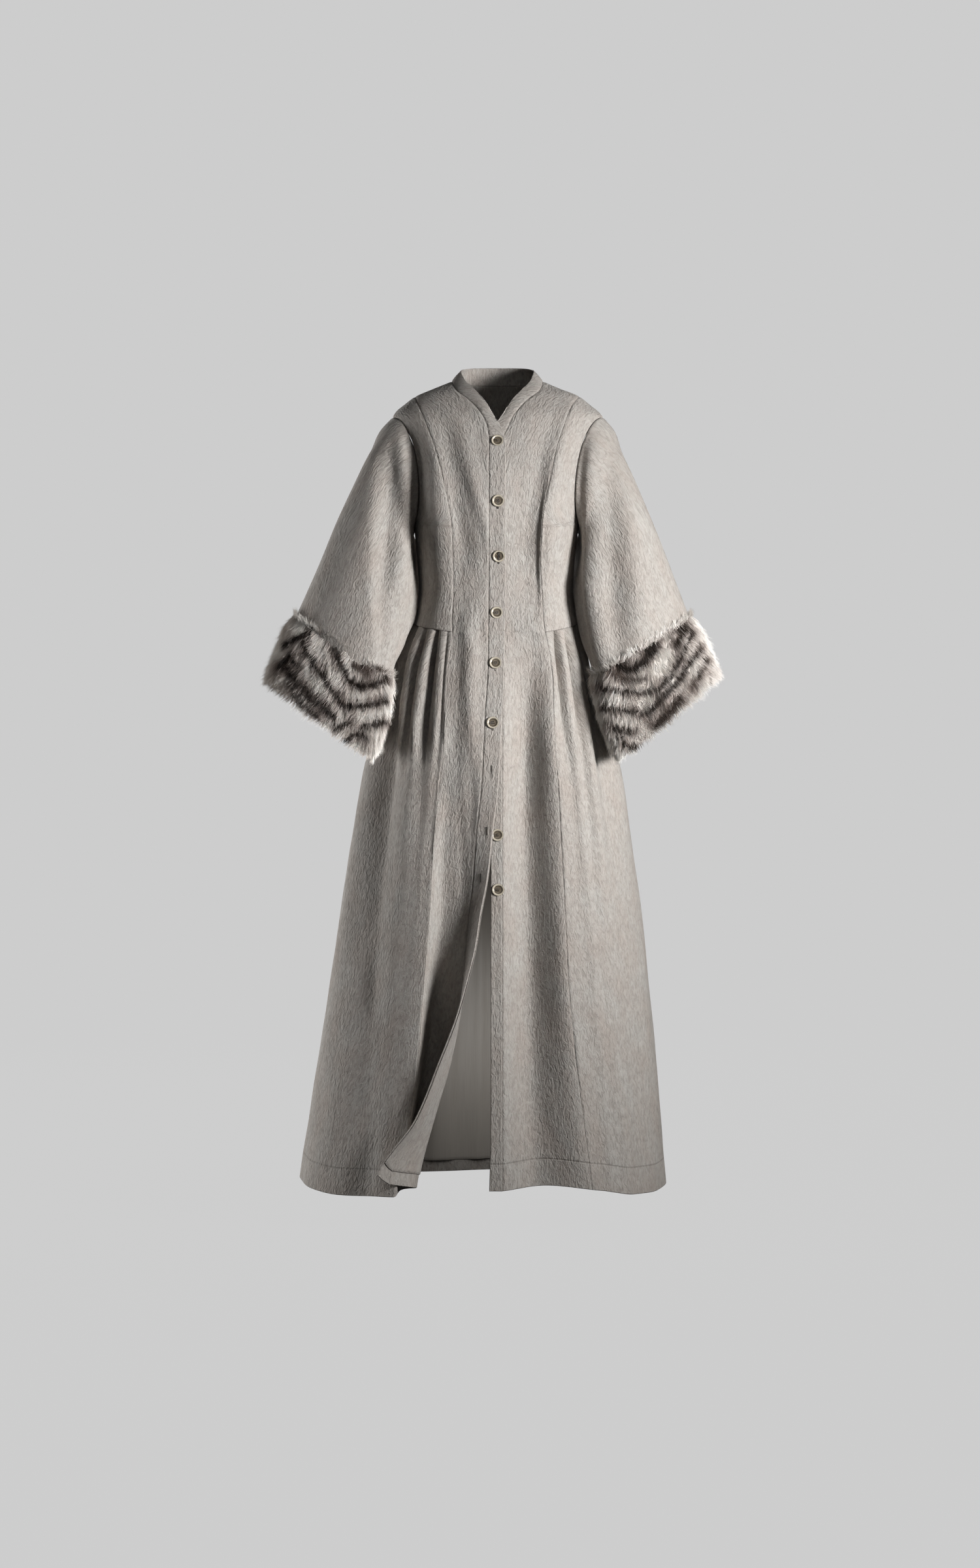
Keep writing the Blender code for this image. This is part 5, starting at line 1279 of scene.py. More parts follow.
def finish(piece: bpy.types.Object, material: bpy.types.Material, slot: str, *nodes: str) -> None:
    """Gives a piece its material, and puts it in the place of its solids.

    Args:
        piece: The finished piece.
        material: What it is made of.
        slot: Not used.
        nodes: The solids that it stands for.
    """
    piece.data.materials.clear()
    piece.data.materials.append(material)
    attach(piece, "root")
    if nodes:
        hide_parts(*nodes)
    LOG.info("%s: %s, in the place of %s", piece.name, material.name, ", ".join(nodes) or "nothing")


@dataclass
class Bodice:
    """The body of the coat: centre fronts, side panels, centre back and the two plackets."""

    form: CoatForm
    wool: bpy.types.Material
    row_step: float = 4.6
    skirt_step: float = 7.0
    column_step: float = 4.4

    def __post_init__(self) -> None:
        """Sets out the rows that all long panels share."""
        rows = int((PRINCESS[0][0] - self.form.waist["front"]) / self.row_step)
        self.steps = np.concatenate([[0.0, 0.03, 0.07, 0.12], np.linspace(0.2, WAIST_STEP, rows)])
        # The side panels end at the waist seam, so their last rows are closer, and none is crowded
        apart = (self.steps < WAIST_STEP - 0.25) | (self.steps >= WAIST_STEP - 0.2)
        last_rows = WAIST_STEP - np.array([0.2, 0.1, 0.04, 0.0])
        self.side_steps = np.unique(np.concatenate([self.steps[apart], last_rows]))
        self.down = ladder(990, self.skirt_step, (False, False))

    def sheet(self, name: str, grid: Points, **details: object) -> None:
        """Makes one panel of wool in the place of the solid with its name."""
        finish(Cloth(name, drape(grid), **details).build(), self.wool, "wool", name)

    def build_centre_fronts(self) -> None:
        """The two centre fronts, each in one length from shoulder to hem."""
        across = ladder(95, self.column_step)
        for side in Side:
            grid = self.form.centre_front(side, across, self.steps, self.down)
            self.sheet("centre_front_" + side.label, grid, creases=FRONT_CREASES, hem=Edge.BOTTOM,
                       sewn=HANGING,
                       soft=frozenset({Edge.FIRST}), waves=Waves(11 + side.value))

    def build_side_panels(self) -> None:
        """The bodice sides, front and back."""
        across = ladder(70, self.column_step)
        for side in Side:
            for back in (False, True):
                grid = self.form.side_panel(side, back, across, self.side_steps)
                name = ("side_back_" if back else "side_front_") + side.label
                self.sheet(name, grid, creases=BACK_CREASES if back else FRONT_CREASES,
                           waves=Waves(21 + side.value + 5 * back))

    def build_back(self) -> None:
        """The centre back in one length, neck to hem."""
        shares = ladder(200, self.column_step + 0.6)
        shoulder = np.linspace(0, 1, 12)
        grid = self.form.centre_back(shares, shoulder, self.steps[1:], self.down)
        self.sheet("centre_back", grid, creases=BACK_CREASES, hem=Edge.BOTTOM,
                   sewn=HANGING,
                   soft=frozenset({Edge.FIRST, Edge.LAST}), waves=Waves(31))

    def build_side_skirts(self) -> None:
        """The pleated side skirts, gathered into the waist seam."""
        down = ladder(1005, self.skirt_step, (True, False))
        for side in Side:
            grid = self.form.side_skirt(side, 7, down)
            self.sheet("side_skirt_" + side.label, grid, hem=Edge.BOTTOM, held="gathered",
                       sewn=HANGING,
                       soft=frozenset({Edge.FIRST, Edge.LAST}),
                       waves=Waves(41 + side.value, 1.0), creases=FRONT_CREASES)

    def build_plackets(self) -> None:
        """The over placket with the buttonholes and the under placket with the buttons."""
        steps = np.linspace(NECK_STEP, WAIST_STEP, 90)
        over = self.form.over_placket(1 + ladder(30, 2.2, (True, False)), steps, self.down)
        under = self.form.under_placket(ladder(21, 2.2, (True, False)), steps, self.down)
        for seed, name, grid in ((51, "placket_right", over), (52, "placket_left", under)):
            self.sheet(name, grid, hem=Edge.BOTTOM, sewn=frozenset({Edge.FIRST}), seam_reach=2.0,
                       waves=Waves(seed, 0.35, 20.0, 60.0))

    def build(self) -> None:
        """Builds every panel of the body."""
        self.build_centre_fronts()
        self.build_side_panels()
        self.build_back()
        self.build_side_skirts()
        self.build_plackets()


@dataclass
class Collar:
    """The narrow stand band round the neck, which leans in and meets in a V at the front."""

    form: CoatForm
    wool: bpy.types.Material
    columns: int = 221
    left_shoulder: float = 16.0
    last: float = 22.0
    bow: float = 1.2

    def lower_edge(self, places: Points) -> Points:
        """Points of the neckline seam, from the right front round the back to the left."""
        form = self.form
        points = np.zeros((len(places), 3))
        for k, place in enumerate(places):
            from_left = place - self.left_shoulder
            if place <= NECK_STEP or from_left >= 0:
                side = Side.RIGHT if place <= NECK_STEP else Side.LEFT
                angle, z = form.placket_seam(side, np.array(max(NECK_STEP - place, from_left)))
                points[k] = form.bodice(angle, z)
            else:
                turn = 270 + from_left * 180 / (self.left_shoulder - NECK_STEP)
                angle = -turn if turn <= 180 else 360 - turn
                points[k] = form.bodice(np.array(angle), np.array(float(NECKLINE[0][0])))
        return points

    def upper_edge(self, places: Points) -> Points:
        """Points of the band's free upper edge."""
        form, z = self.form, float(NECKLINE[-1][0])
        right = form.outline(form.angle_of(form.over_edge(z), z), z)
        left = form.outline(form.angle_of(form.under_edge(z), z), z, form.lap)
        knots, points = [0.0], [right]
        for k, point in enumerate(COLLAR_EDGE[Side.RIGHT]):
            knots.append(1.0 + k)
            points.append(np.array(point, float))
        for k, point in enumerate(COLLAR_BACK):
            knots.append(NECK_STEP + k * (self.left_shoulder - NECK_STEP) / (len(COLLAR_BACK) - 1))
            points.append(np.array(point, float))
        for k, point in enumerate(COLLAR_EDGE[Side.LEFT]):
            behind = form.lap * (1 - ease(form.lap_from, form.lap_to, abs(point[0])))
            knots.append(self.left_shoulder + 1.0 + k)
            points.append(np.array(point, float) + np.array([0, behind, 0]))
        knots.append(self.last)
        points.append(left)
        return np.stack([Curve(knots, [p[axis] for p in points])(places) for axis in range(3)], -1)

    def build(self) -> None:
        """Makes the band."""
        places = np.linspace(0, self.last, self.columns)
        lower, upper = self.lower_edge(places), self.upper_edge(places)
        down = ladder(30, 2.8, (False, True))[:, None, None]
        grid = mix(upper[None], drape(lower)[None], down)
        grid = grid + outward(grid) * self.bow * np.sin(np.pi * down)
        cloth = Cloth("collar", grid, sewn=frozenset({Edge.BOTTOM}), waves=Waves(61, 0.3, 18.0, 50.0))
        finish(cloth.build(), self.wool, "wool", "collar")


def follow(rings: Points, counts: Sequence[float]) -> Points:
    """Rows along a smooth run through rings of points.

    Args:
        rings: The rings, one after another.
        counts: Shares of the whole length at which rows are wanted.

    Returns:
        The rows.
    """
    gap = np.linalg.norm(np.diff(rings, axis=0), axis=-1).mean(axis=1)
    knots = np.concatenate([[0], np.cumsum(gap)])
    rise = np.diff(rings, axis=0) / gap[:, None, None]
    slopes = np.zeros_like(rings)
    slopes[0], slopes[-1] = rise[0], rise[-1]
    weight = (gap[:-1] / (gap[:-1] + gap[1:]))[:, None, None]
    slopes[1:-1] = rise[:-1] * (1 - weight) + rise[1:] * weight
    rows = []
    for at in np.asarray(counts) * knots[-1]:
        k = int(np.clip(np.searchsorted(knots, at, side="right") - 1, 0, len(knots) - 2))
        rows.append(bend((at - knots[k]) / gap[k], rings[k], rings[k + 1],
                         gap[k] * slopes[k], gap[k] * slopes[k + 1]))
    return np.array(rows)


@dataclass
class Sleeve:
    """A wide bell sleeve, set into the armhole and turned back in a band of fur at its hem."""

    form: CoatForm
    side: Side
    wool: bpy.types.Material
    fur: bpy.types.Material
    columns: int = 112
    row_step: float = 5.2
    pile: tuple[float, ...] = (10, 18, 20, 20, 18, 11)
    pile_from: float = 6.0
    pile_to: float = 8.0
    overhang: float = 11.0
    skin: tuple[float, float] = (1.6, 1.9)  # the pelt's two faces over the cloth's middle, in mm
    underfur: float = 0.52
    tufts: int = 46000
    tuft_length: float = 23.0
    tuft_width: float = 1.35
    edge_share: float = 0.12  # the share of the hair that is added along the upper edge
    edge_rows: float = 6.0
    root_lift: float = 1.4
    root_share: tuple[float, float] = (0.30, 0.42)  # of the pile, at the upper edge and below
    upward: float = -0.55
    upward_length: float = 0.62
    lifts: tuple[float, float] = (0.26, 0.58)
    lengths: tuple[float, float] = (0.6, 1.15)
    widths: tuple[float, float] = (0.7, 1.25)
    locks: tuple[int, int] = (40, 120)
    root_shade_tip_light: tuple[float, ...] = (0.60, 0.60, 0.60, 1.20)  # painted light on each hair: shade at its three roots, light at its tip

    def build(self) -> None:
        """Makes the sleeve's cloth."""
        rings = self.form.sleeve_rings(self.side, self.columns)
        rings[0] = drape(rings[0])
        length = np.linalg.norm(np.diff(rings, axis=0), axis=-1).mean(axis=1).sum()
        grid = self.fold(follow(rings, ladder(length, self.row_step, (True, False))))
        name = "sleeve_" + self.side.label
        cloth = Cloth(name, grid, wrap=True, sewn=frozenset({Edge.TOP}), seam_dip=1.5, seam_reach=3.5,
                      waves=Waves(71 + self.side.value, 1.0, 40.0, 170.0))
        finish(cloth.build(), self.wool, "wool", name)

    def fold(self, grid: Points) -> Points:
        """The sleeve with its soft folds, which leave its seam as it is."""
        normals = outward(grid, True)
        front, below_seam = ease(0.05, 0.5, -normals[..., 1]), ease(0, 22, arc(grid, 0))
        return grid + normals * (SLEEVE_FOLDS[self.side](grid) * front * below_seam)[..., None]

    def cuff_form(self) -> tuple[Points, Points, Points]:
        """The sleeve's own surface under the fur, the way out from it, and the pile's height."""
        steps = np.linspace(self.pile_from, self.pile_to, 33)
        turns = np.linspace(0, 2 * math.pi, self.columns, endpoint=False)
        rings = [self.form.sleeve_ring(self.side, step, turns) for step in steps]
        below = unit(np.mean(rings[-1] - rings[-2], axis=0))
        rings += [rings[-1] + below * self.overhang * share for share in (0.35, 0.7, 1.0)]
        grid = np.array(rings)
        places = np.concatenate([(steps - self.pile_from) / 0.5, [4.35, 4.7, 5.0]])
        pile = np.interp(places, range(len(self.pile)), self.pile)
        return grid, outward(grid, True), pile

    def build_pelt(self) -> tuple[bpy.types.Object, tuple[float, float]]:
        """The dense underfur: a soft closed band round the sleeve's hem, and its flat size."""
        grid, normals, pile = self.cuff_form()
        rows = len(grid)
        edge = np.minimum(np.arange(rows) / 6.0, (rows - 1 - np.arange(rows)) / 4.0)
        full = pile * self.underfur * ease(-0.3, 1.0, edge)
        u, v = arc(closed_round(grid), 1), closed_round(arc(grid, 0))
        share = u[:, :-1] / u[:, -1:]
        lumps = Waves(81 + self.side.value, 1.6, 12.0, 46.0, 20)(u[:, :-1], v[:, :-1])
        lumps = lumps * ease(0, 0.05, np.minimum(share, 1 - share))
        height = self.skin[1] + full[:, None] * (1 + lumps / 10)
        outer, inner = grid + normals * height[..., None], grid + normals * self.skin[0]
        piece = Shell("cuff_" + self.side.label, outer, inner, (u, v), True).build()
        # The underfur gets 0.8 of its colour: painted shade under the long hair
        self.paint(piece, np.array([vertex.co for vertex in piece.data.vertices]) / MM, 0.80)
        return piece, (float(u.max()) * MM, float(v[-1].max()) * MM)

    def paint(self, piece: bpy.types.Object, points: Points, light: Points) -> None:
        """Gives every point of a fur piece its natural colour, times a factor of painted light and shade.
        """
        colour = FUR_MARKINGS[self.side].colour(points) * np.asarray(light)[..., None]
        layer = piece.data.color_attributes.new(name="hair", type="FLOAT_COLOR", domain="POINT")
        full = np.concatenate([np.clip(colour, 0, 1), np.ones((len(points), 1))], axis=1)
        layer.data.foreach_set("color", full.astype(np.float32).ravel())

    def build_tufts(self) -> bpy.types.Object:
        """The long guard hair: thousands of closed pointed tufts that lie down along the sleeve."""
        grid, normals, pile = self.cuff_form()
        dice = np.random.default_rng(900 + self.side.value)
        rows, columns = grid.shape[:2]
        r = np.minimum(dice.uniform(0, 1, self.tufts) * (rows - 1), rows - 1.001)
        edge = dice.uniform(0, 1, self.tufts) < self.edge_share
        r = np.where(edge, dice.uniform(0, self.edge_rows, self.tufts), r)
        c = dice.uniform(0, columns, self.tufts)

        def at(values: Points) -> Points:
            """Values of a grid at each root."""
            return read_grid(closed_round(values), r, c)

        out, down = unit(at(normals)), unit(at(np.gradient(grid, axis=0)))
        side = unit(np.cross(down, out))
        share = r / (rows - 1)
        height = np.interp(r, range(rows), pile)
        deep = np.where(share < 0.12, *self.root_share)
        root = at(grid) + out * (self.root_lift + height * deep)[:, None]
        # Near the upper edge half of the hair stands up over the sleeve, and the rest lies down
        falls = dice.uniform(0, 1, self.tufts) < ease(-0.10, 0.10, share)
        flow = np.where(falls, 1.0, self.upward) + dice.normal(0, 0.14, self.tufts)
        # Neighbours share a lock, so that they lie the same way
        places = r * 0.75 + 0.4 * np.sin(c * 0.9), c * 0.8
        lock = tuple(place.astype(int) % count for place, count in zip(places, self.locks))
        lifts, sways, lengths = dice.normal(0, 1, (3, *self.locks))
        lift = dice.uniform(*self.lifts, self.tufts) + 0.10 * lifts[lock]
        sway = dice.normal(0, 0.14, self.tufts) + 0.26 * np.sin(c * 0.55 + 3 * share) + 0.20 * sways[lock]
        way = unit(down * flow[:, None] + out * lift[:, None] + side * sway[:, None])
        length = self.tuft_length * dice.uniform(*self.lengths, self.tufts)
        length = length * np.where(falls, 1.0, self.upward_length)
        length = length * (1 + 0.12 * lengths[lock]) * np.where(share > 0.86, 0.8, 1.0)
        width = self.tuft_width * dice.uniform(*self.widths, self.tufts)
        points = np.zeros((self.tufts, 4, 3))
        other = unit(np.cross(way, side))
        for k in range(3):
            turn = 2 * math.pi * k / 3 + 0.5
            spread = side * math.cos(turn) + other * (0.6 * math.sin(turn))
            points[:, k] = root + spread * (width * 0.5)[:, None]
        points[:, 3] = root + way * length[:, None]
        corner = np.array([(0, 2, 1), (0, 1, 3), (1, 2, 3), (2, 0, 3)])
        faces = (corner[None] + 4 * np.arange(self.tufts)[:, None, None]).reshape(-1, 3)
        mesh = bpy.data.meshes.new("fur_" + self.side.label)
        mesh.from_pydata((points.reshape(-1, 3) * MM).tolist(), [], faces.tolist())
        mesh.update()
        piece = add_object(mesh.name, mesh)
        # Each tuft's random tone, times painted shade at its roots and painted light at its tip
        tone = dice.normal(1.0, 0.10, self.tufts)[:, None] * np.array(self.root_shade_tip_light)
        seen = (root + way * (length * 0.7)[:, None])[:, None] + np.zeros((1, 4, 1))
        self.paint(piece, seen.reshape(-1, 3), tone.reshape(-1))
        return piece

    def build_cuff(self) -> None:
        """Makes the turned-back fur band."""
        pelt, flat = self.build_pelt()
        tufts = self.build_tufts()
        finish(pelt, self.fur, "fur", "cuff_" + self.side.label)
        finish(tufts, self.fur, "fur")


@dataclass(frozen=True)
class Marking:
    """A dark stripe in the fur: points of its middle line seen from the front, and half its width."""

    line: tuple[tuple[float, float], ...]
    half: float
    dark: float = 1.0


@dataclass(frozen=True)
class Markings:
    """The natural stripes of one cuff. They meet in a point down its middle, as matched pelts do."""

    lines: tuple[Marking, ...]
    seed: int
    cream: str = "#efe9e2"
    grey: str = "#b7aaa3"
    taupe: str = "#65574f"
    dark: str = "#21170f"

    def colour(self, points: Points) -> Points:
        """The colour of the fur at each point.

        Args:
            points: Places in mm.

        Returns:
            Linear RGB at each.
        """
        dice = np.random.default_rng(self.seed)
        x = points[:, 0] + dice.normal(0, 1.5, len(points))
        z = points[:, 2] + dice.normal(0, 2.4, len(points))
        flat = np.stack([x, z], -1)
        stripe, halo = np.zeros(len(flat)), np.zeros(len(flat))
        for marking in self.lines:
            gap = np.full(len(flat), 1e9)
            for start, end in zip(marking.line, marking.line[1:]):
                a, line = np.array(start, float), np.array(end, float) - np.array(start, float)
                t = np.clip((flat - a) @ line / (line @ line), 0, 1)
                gap = np.minimum(gap, np.linalg.norm(flat - a - t[:, None] * line, axis=1))
            inside = 1 - ease(marking.half * 0.5, marking.half * 1.25, gap)
            stripe = np.maximum(stripe, marking.dark * inside)
            halo = np.maximum(halo, 1 - ease(marking.half, marking.half + 15, gap))
        waves = enumerate(((9, 23), (-14, 11), (31, -17)))
        cloud = sum(np.sin(x / across + z / down + k) for k, (across, down) in waves) / 3
        grey = np.clip(0.50 * halo + 0.32 * cloud + dice.normal(0, 0.15, len(flat)), 0, 1)[:, None]
        cream, mid, taupe, dark = (np.array(srgb(code)[:3])
                                   for code in (self.cream, self.grey, self.taupe, self.dark))
        colour = mix(cream, mid, np.clip(grey * 1.5, 0, 1))
        colour = mix(colour, taupe, np.clip(grey * 1.6 - 0.55, 0, 0.8))
        stripe = np.clip(stripe + dice.normal(0, 0.12, len(flat)) * (stripe > 0.1), 0, 1)[:, None]
        return mix(mix(colour, taupe, np.clip(stripe * 2, 0, 1)), dark, np.clip(stripe * 1.7 - 0.6, 0, 1))


FUR_MARKINGS = {
    Side.RIGHT: Markings((
        Marking(((-312, -448), (-291, -474), (-283, -500), (-266, -532), (-249, -546), (-227, -544),
                 (-197, -534)), 6.5),
        Marking(((-349, -457), (-341, -486), (-320, -515), (-297, -548), (-273, -581), (-239, -581),
                 (-197, -571)), 5.5),
        Marking(((-384, -470), (-361, -458), (-339, -448)), 5.5),
        Marking(((-379, -511), (-358, -539), (-328, -567), (-294, -597)), 9.0, 0.85),
        Marking(((-393, -509), (-372, -489), (-358, -513)), 4.5),
        Marking(((-375, -544), (-349, -576), (-321, -597)), 5.0, 0.8),
        Marking(((-242, -619), (-220, -614), (-197, -607)), 5.0),
        Marking(((-289, -621), (-275, -615), (-261, -608)), 4.5),
        Marking(((-271, -643), (-253, -630), (-234, -636)), 4.5),
        Marking(((-257, -509), (-231, -518), (-197, -507)), 7.0, 0.6),
    ), 301),
    Side.LEFT: Markings((
        Marking(((338, -437), (326, -456), (317, -474)), 6.5),
        Marking(((282, -470), (271, -488), (257, -504), (236, -516), (215, -513)), 7.5),
        Marking(((349, -446), (335, -476), (321, -502), (305, -530), (280, -555), (250, -557),
                 (217, -555), (183, -548)), 4.5),
        Marking(((364, -476), (340, -507), (318, -539), (289, -569), (263, -596), (231, -590),
                 (185, -584)), 5.0),
        Marking(((324, -569), (303, -592), (280, -615)), 8.5, 0.75),
        Marking(((200, -618), (217, -623), (237, -627)), 4.5),
        Marking(((224, -648), (245, -655), (264, -648)), 4.0, 0.8),
        Marking(((377, -493), (363, -520), (347, -544)), 4.0, 0.7),
        Marking(((194, -520), (227, -534), (259, -532)), 6.0, 0.5),
    ), 302),
}


@dataclass
class Linings:
    """What shows where the front hangs open: the self facing and the satin lining of the back."""

    form: CoatForm
    wool: bpy.types.Material
    satin: bpy.types.Material
    facing_from: float = 0.36
    facing_share: float = 0.5
    facing_lift: float = 24.0
    skirt_length: float = 985.0
    lining_from: float = 0.105
    fold_depth: float = 7.0
    behind: float = 1.6  # half of the cloth's thickness and the gap behind it, in mm

    def inside(self, grid: Points, depth: Points) -> Points:
        """The grid moved towards the inside of the coat."""
        return grid - outward(grid) * depth

    def build_facing(self) -> None:
        """The facing of the right front, cut in the coat's own wool."""
        shares = np.concatenate([np.linspace(self.facing_share, 1, 18), np.linspace(1, 2, 12)[1:]])
        down = np.linspace(self.facing_from, 1 - self.facing_lift / self.skirt_length, 100)
        grid = drape(self.inside(self.form.right_front(shares, down), self.behind + 0.75))
        cloth = Cloth("facing_right", grid, 1.5, sewn=frozenset({Edge.TOP, Edge.LAST}), seam_dip=0.4)
        finish(cloth.build(), self.wool, "wool", "facing_right")

    def build_lining(self) -> None:
        """The lining of the centre back, sewn in at its edges and easy between them."""
        shares, down = ladder(220, 3.6, (False, False)), np.linspace(self.lining_from, 0.978, 130)
        whole = self.form.centre_back(shares, (), np.array([WAIST_STEP]), np.concatenate([[0.0], down]))
        fall = np.sin(np.pi / 2 * np.clip((down - self.lining_from) / 0.135, 0, 1))[:, None]
        sides = ease(0, 0.10, np.minimum(shares, 1 - shares))[None]
        drift = 0.35 * np.sin(down * 5.0)[:, None]
        wave = 0.6 + 0.4 * np.cos(10 * np.pi * (shares[None] + 0.02 * drift))
        fine = 0.10 * np.sin(27 * np.pi * shares[None] + 3 * drift)
        depth = self.behind + 0.5 + self.fold_depth * fall * sides * (wave + fine)
        cloth = Cloth("back_lining", self.inside(whole[1:], depth[..., None]), 1.0, seam_dip=0.2,
                      sewn=HANGING, waves=Waves(91, 0.6, 30.0, 90.0))
        finish(cloth.build(), self.satin, "satin", "back_lining")

    def build(self) -> None:
        """Builds the facing and the lining."""
        self.build_facing()
        self.build_lining()


def take_active() -> bpy.types.Object:
    """The object that the last operator made."""
    return bpy.context.view_layer.objects.active


def clear_choice() -> None:
    """Deselects every object, so that an operator acts only on what is chosen next."""
    if bpy.context.mode != "OBJECT":
        bpy.ops.object.mode_set(mode="OBJECT")
    bpy.ops.object.select_all(action="DESELECT")


def choose_faces(piece: bpy.types.Object, wanted: Callable[[bpy.types.MeshPolygon], bool]) -> None:
    """Selects the faces that a test picks, and leaves the piece in edit mode."""
    bpy.ops.object.mode_set(mode="EDIT")
    bpy.ops.mesh.select_mode(type="FACE")
    bpy.ops.mesh.select_all(action="DESELECT")
    bpy.ops.object.mode_set(mode="OBJECT")
    for face in piece.data.polygons:
        face.select = bool(wanted(face))
    bpy.ops.object.mode_set(mode="EDIT")


def join(parts: Sequence[bpy.types.Object]) -> bpy.types.Object:
    """Joins the parts into the first of them."""
    clear_choice()
    for part in parts:
        part.select_set(True)
    bpy.context.view_layer.objects.active = parts[0]
    bpy.ops.object.join()
    return take_active()


def apply_modifier(piece: bpy.types.Object, kind: str, **settings: object) -> None:
    """Adds a modifier with its settings and applies it."""
    bpy.context.view_layer.objects.active = piece
    modifier = piece.modifiers.new(kind.title(), kind)
    for name, value in settings.items():
        setattr(modifier, name, value)
    bpy.ops.object.modifier_apply(modifier=modifier.name)


@dataclass
class Fastenings:
    """Nine four-hole horn buttons with their thread, and the worked buttonholes."""

    strips: dict[bool, Points]
    horn: bpy.types.Material
    thread: bpy.types.Material
    radius: float = 11.0
    height: float = 3.6
    hole: float = 1.05
    hole_at: float = 1.9
    hole_length: float = 23.0
    thread_radius: float = 0.5
    dish: tuple[tuple[float, float], ...] = ((1.5, 0.0), (1.5, -1.3), (0.6, -0.25), (3.2, -0.05))
    rim_spread: float = 1.075
    back_shrink: float = 0.86
    above_button: float = 1.75
    above_open: float = 1.8
    below_centre: float = 3.0
    tilt: tuple[float, ...] = (0.10, -0.06, 0.16, -0.12, 0.05, 0.2, -0.1, 0.32, -0.22)
    open_holes: tuple[tuple[float, float], ...] = ((-11.5, -696), (-19.5, -804), (-29.5, -886))

    def place(self, over: bool, x: float, z: float) -> tuple[Vector, Vector]:
        """A point on a placket's middle surface, and the way out of it."""
        grid = self.strips[over]
        row = int(np.argmin(np.abs(grid[..., 2].mean(axis=1) - z)))
        line = grid[row][np.argsort(grid[row][:, 0])]
        y = float(np.interp(x, line[:, 0], line[:, 1]))
        across = Vector(line[-1] - line[0]).normalized()
        down = Vector(grid[min(row + 3, len(grid) - 1), 0] - grid[max(row - 3, 0), 0]).normalized()
        out = across.cross(-down).normalized()
        return Vector((x, y, z)), -out if out.y > 0 else out

    def frame(self, centre: Vector, out: Vector, turn: float = 0.0) -> Matrix:
        """The place of a fastening whose own +Z is the way out and whose +Y is up the placket."""
        across = Vector((0, 0, 1)).cross(out).normalized()
        up = out.cross(across).normalized()
        basis = Matrix((across, up, out)).transposed().to_4x4()
        return Matrix.Translation(centre * MM) @ basis @ Matrix.Rotation(turn, 4, "Z")

    def model_button(self) -> bpy.types.Object:
        """Turns one button: a dished disc with a rounded raised rim and four holes."""
        clear_choice()
        bpy.ops.mesh.primitive_cylinder_add(vertices=56, radius=self.radius * MM * 0.93,
                                            depth=self.height * MM,
                                            location=(0, 0, self.height * MM / 2))
        button = take_active()
        choose_faces(button, lambda face: face.normal.z > 0.9)
        for thickness, depth in self.dish:
            bpy.ops.mesh.inset(thickness=thickness * MM, depth=depth * MM)
        choose_faces(button, lambda face: abs(face.normal.z) < 0.3 and face.center.xy.length > 9.5 * MM)
        bpy.ops.mesh.subdivide(number_cuts=1)
        bpy.ops.object.mode_set(mode="OBJECT")
        for vertex in button.data.vertices:
            out = vertex.co.xy.length
            if out > self.radius * MM * 0.9 and abs(vertex.co.z - self.height * MM / 2) < 0.2 * MM:
                vertex.co.xy *= self.rim_spread
            elif out > self.radius * MM * 0.9 and vertex.co.z < 0.1 * MM:
                vertex.co.xy *= self.back_shrink
        apply_modifier(button, "BEVEL", width=0.42 * MM, segments=3, limit_method="ANGLE",
                       angle_limit=math.radians(24))
        for x, y in ((1, 1), (1, -1), (-1, -1), (-1, 1)):
            clear_choice()
            bpy.ops.mesh.primitive_cylinder_add(vertices=16, radius=self.hole * MM, depth=12 * MM,
                                                location=(x * self.hole_at * MM, y * self.hole_at * MM, 0))
            drill = take_active()
            apply_modifier(button, "BOOLEAN", operation="DIFFERENCE", object=drill)
            bpy.data.objects.remove(drill)
        return button

    def model_thread(self) -> bpy.types.Object:
        """Winds the thread through the four holes as two bars, and down to the cloth."""
        parts = []
        for x in (-1, 1):
            clear_choice()
            bpy.ops.mesh.primitive_torus_add(major_radius=self.hole_at * MM,
                                             minor_radius=self.thread_radius * MM,
                                             major_segments=28, minor_segments=8,
                                             location=(x * self.hole_at * MM, 0, 1.15 * MM),
                                             rotation=(0, math.pi / 2, 0))
            parts.append(take_active())
            bpy.ops.object.transform_apply(location=True, rotation=True, scale=True)
        return join(parts)

    def model_buttonhole(self) -> bpy.types.Object:
        """Works one buttonhole: a long loop of close stitches round a slit, which holds a dark sheet as
        painted shade.
        """
        clear_choice()
        bpy.ops.mesh.primitive_torus_add(major_radius=1.15 * MM,
                                         minor_radius=self.thread_radius * MM,
                                         major_segments=40, minor_segments=8)
        loop = take_active()
        reach = (self.hole_length / 2 - 1.6) * MM
        for vertex in loop.data.vertices:
            vertex.co.y += reach * (1 if vertex.co.y > 0 else -1)
        clear_choice()
        # A dark flattened sheet in the thread's colour, laid in the slit: painted shade for the opening
        bpy.ops.mesh.primitive_uv_sphere_add(segments=16, ring_count=8, radius=1.0 * MM)
        slit = take_active()
        slit.scale = (0.75, self.hole_length / 2 - 1.2, 0.18)
        bpy.ops.object.transform_apply(location=True, rotation=True, scale=True)
        return join([loop, slit])

    def copy(self, model: bpy.types.Object, name: str, place: Matrix) -> bpy.types.Object:
        """A copy of a model with its own mesh, which holds its place."""
        mesh = model.data.copy()
        mesh.name = name
        out = np.array([vertex.co.xy.length for vertex in mesh.vertices]) / MM
        mark = mesh.attributes.new(name="radius_mm", type="FLOAT", domain="POINT")
        mark.data.foreach_set("value", out.astype(np.float32))
        mesh.transform(place)
        mesh.shade_smooth()
        mesh.set_sharp_from_angle(angle=math.radians(38))
        return add_object(name, mesh)

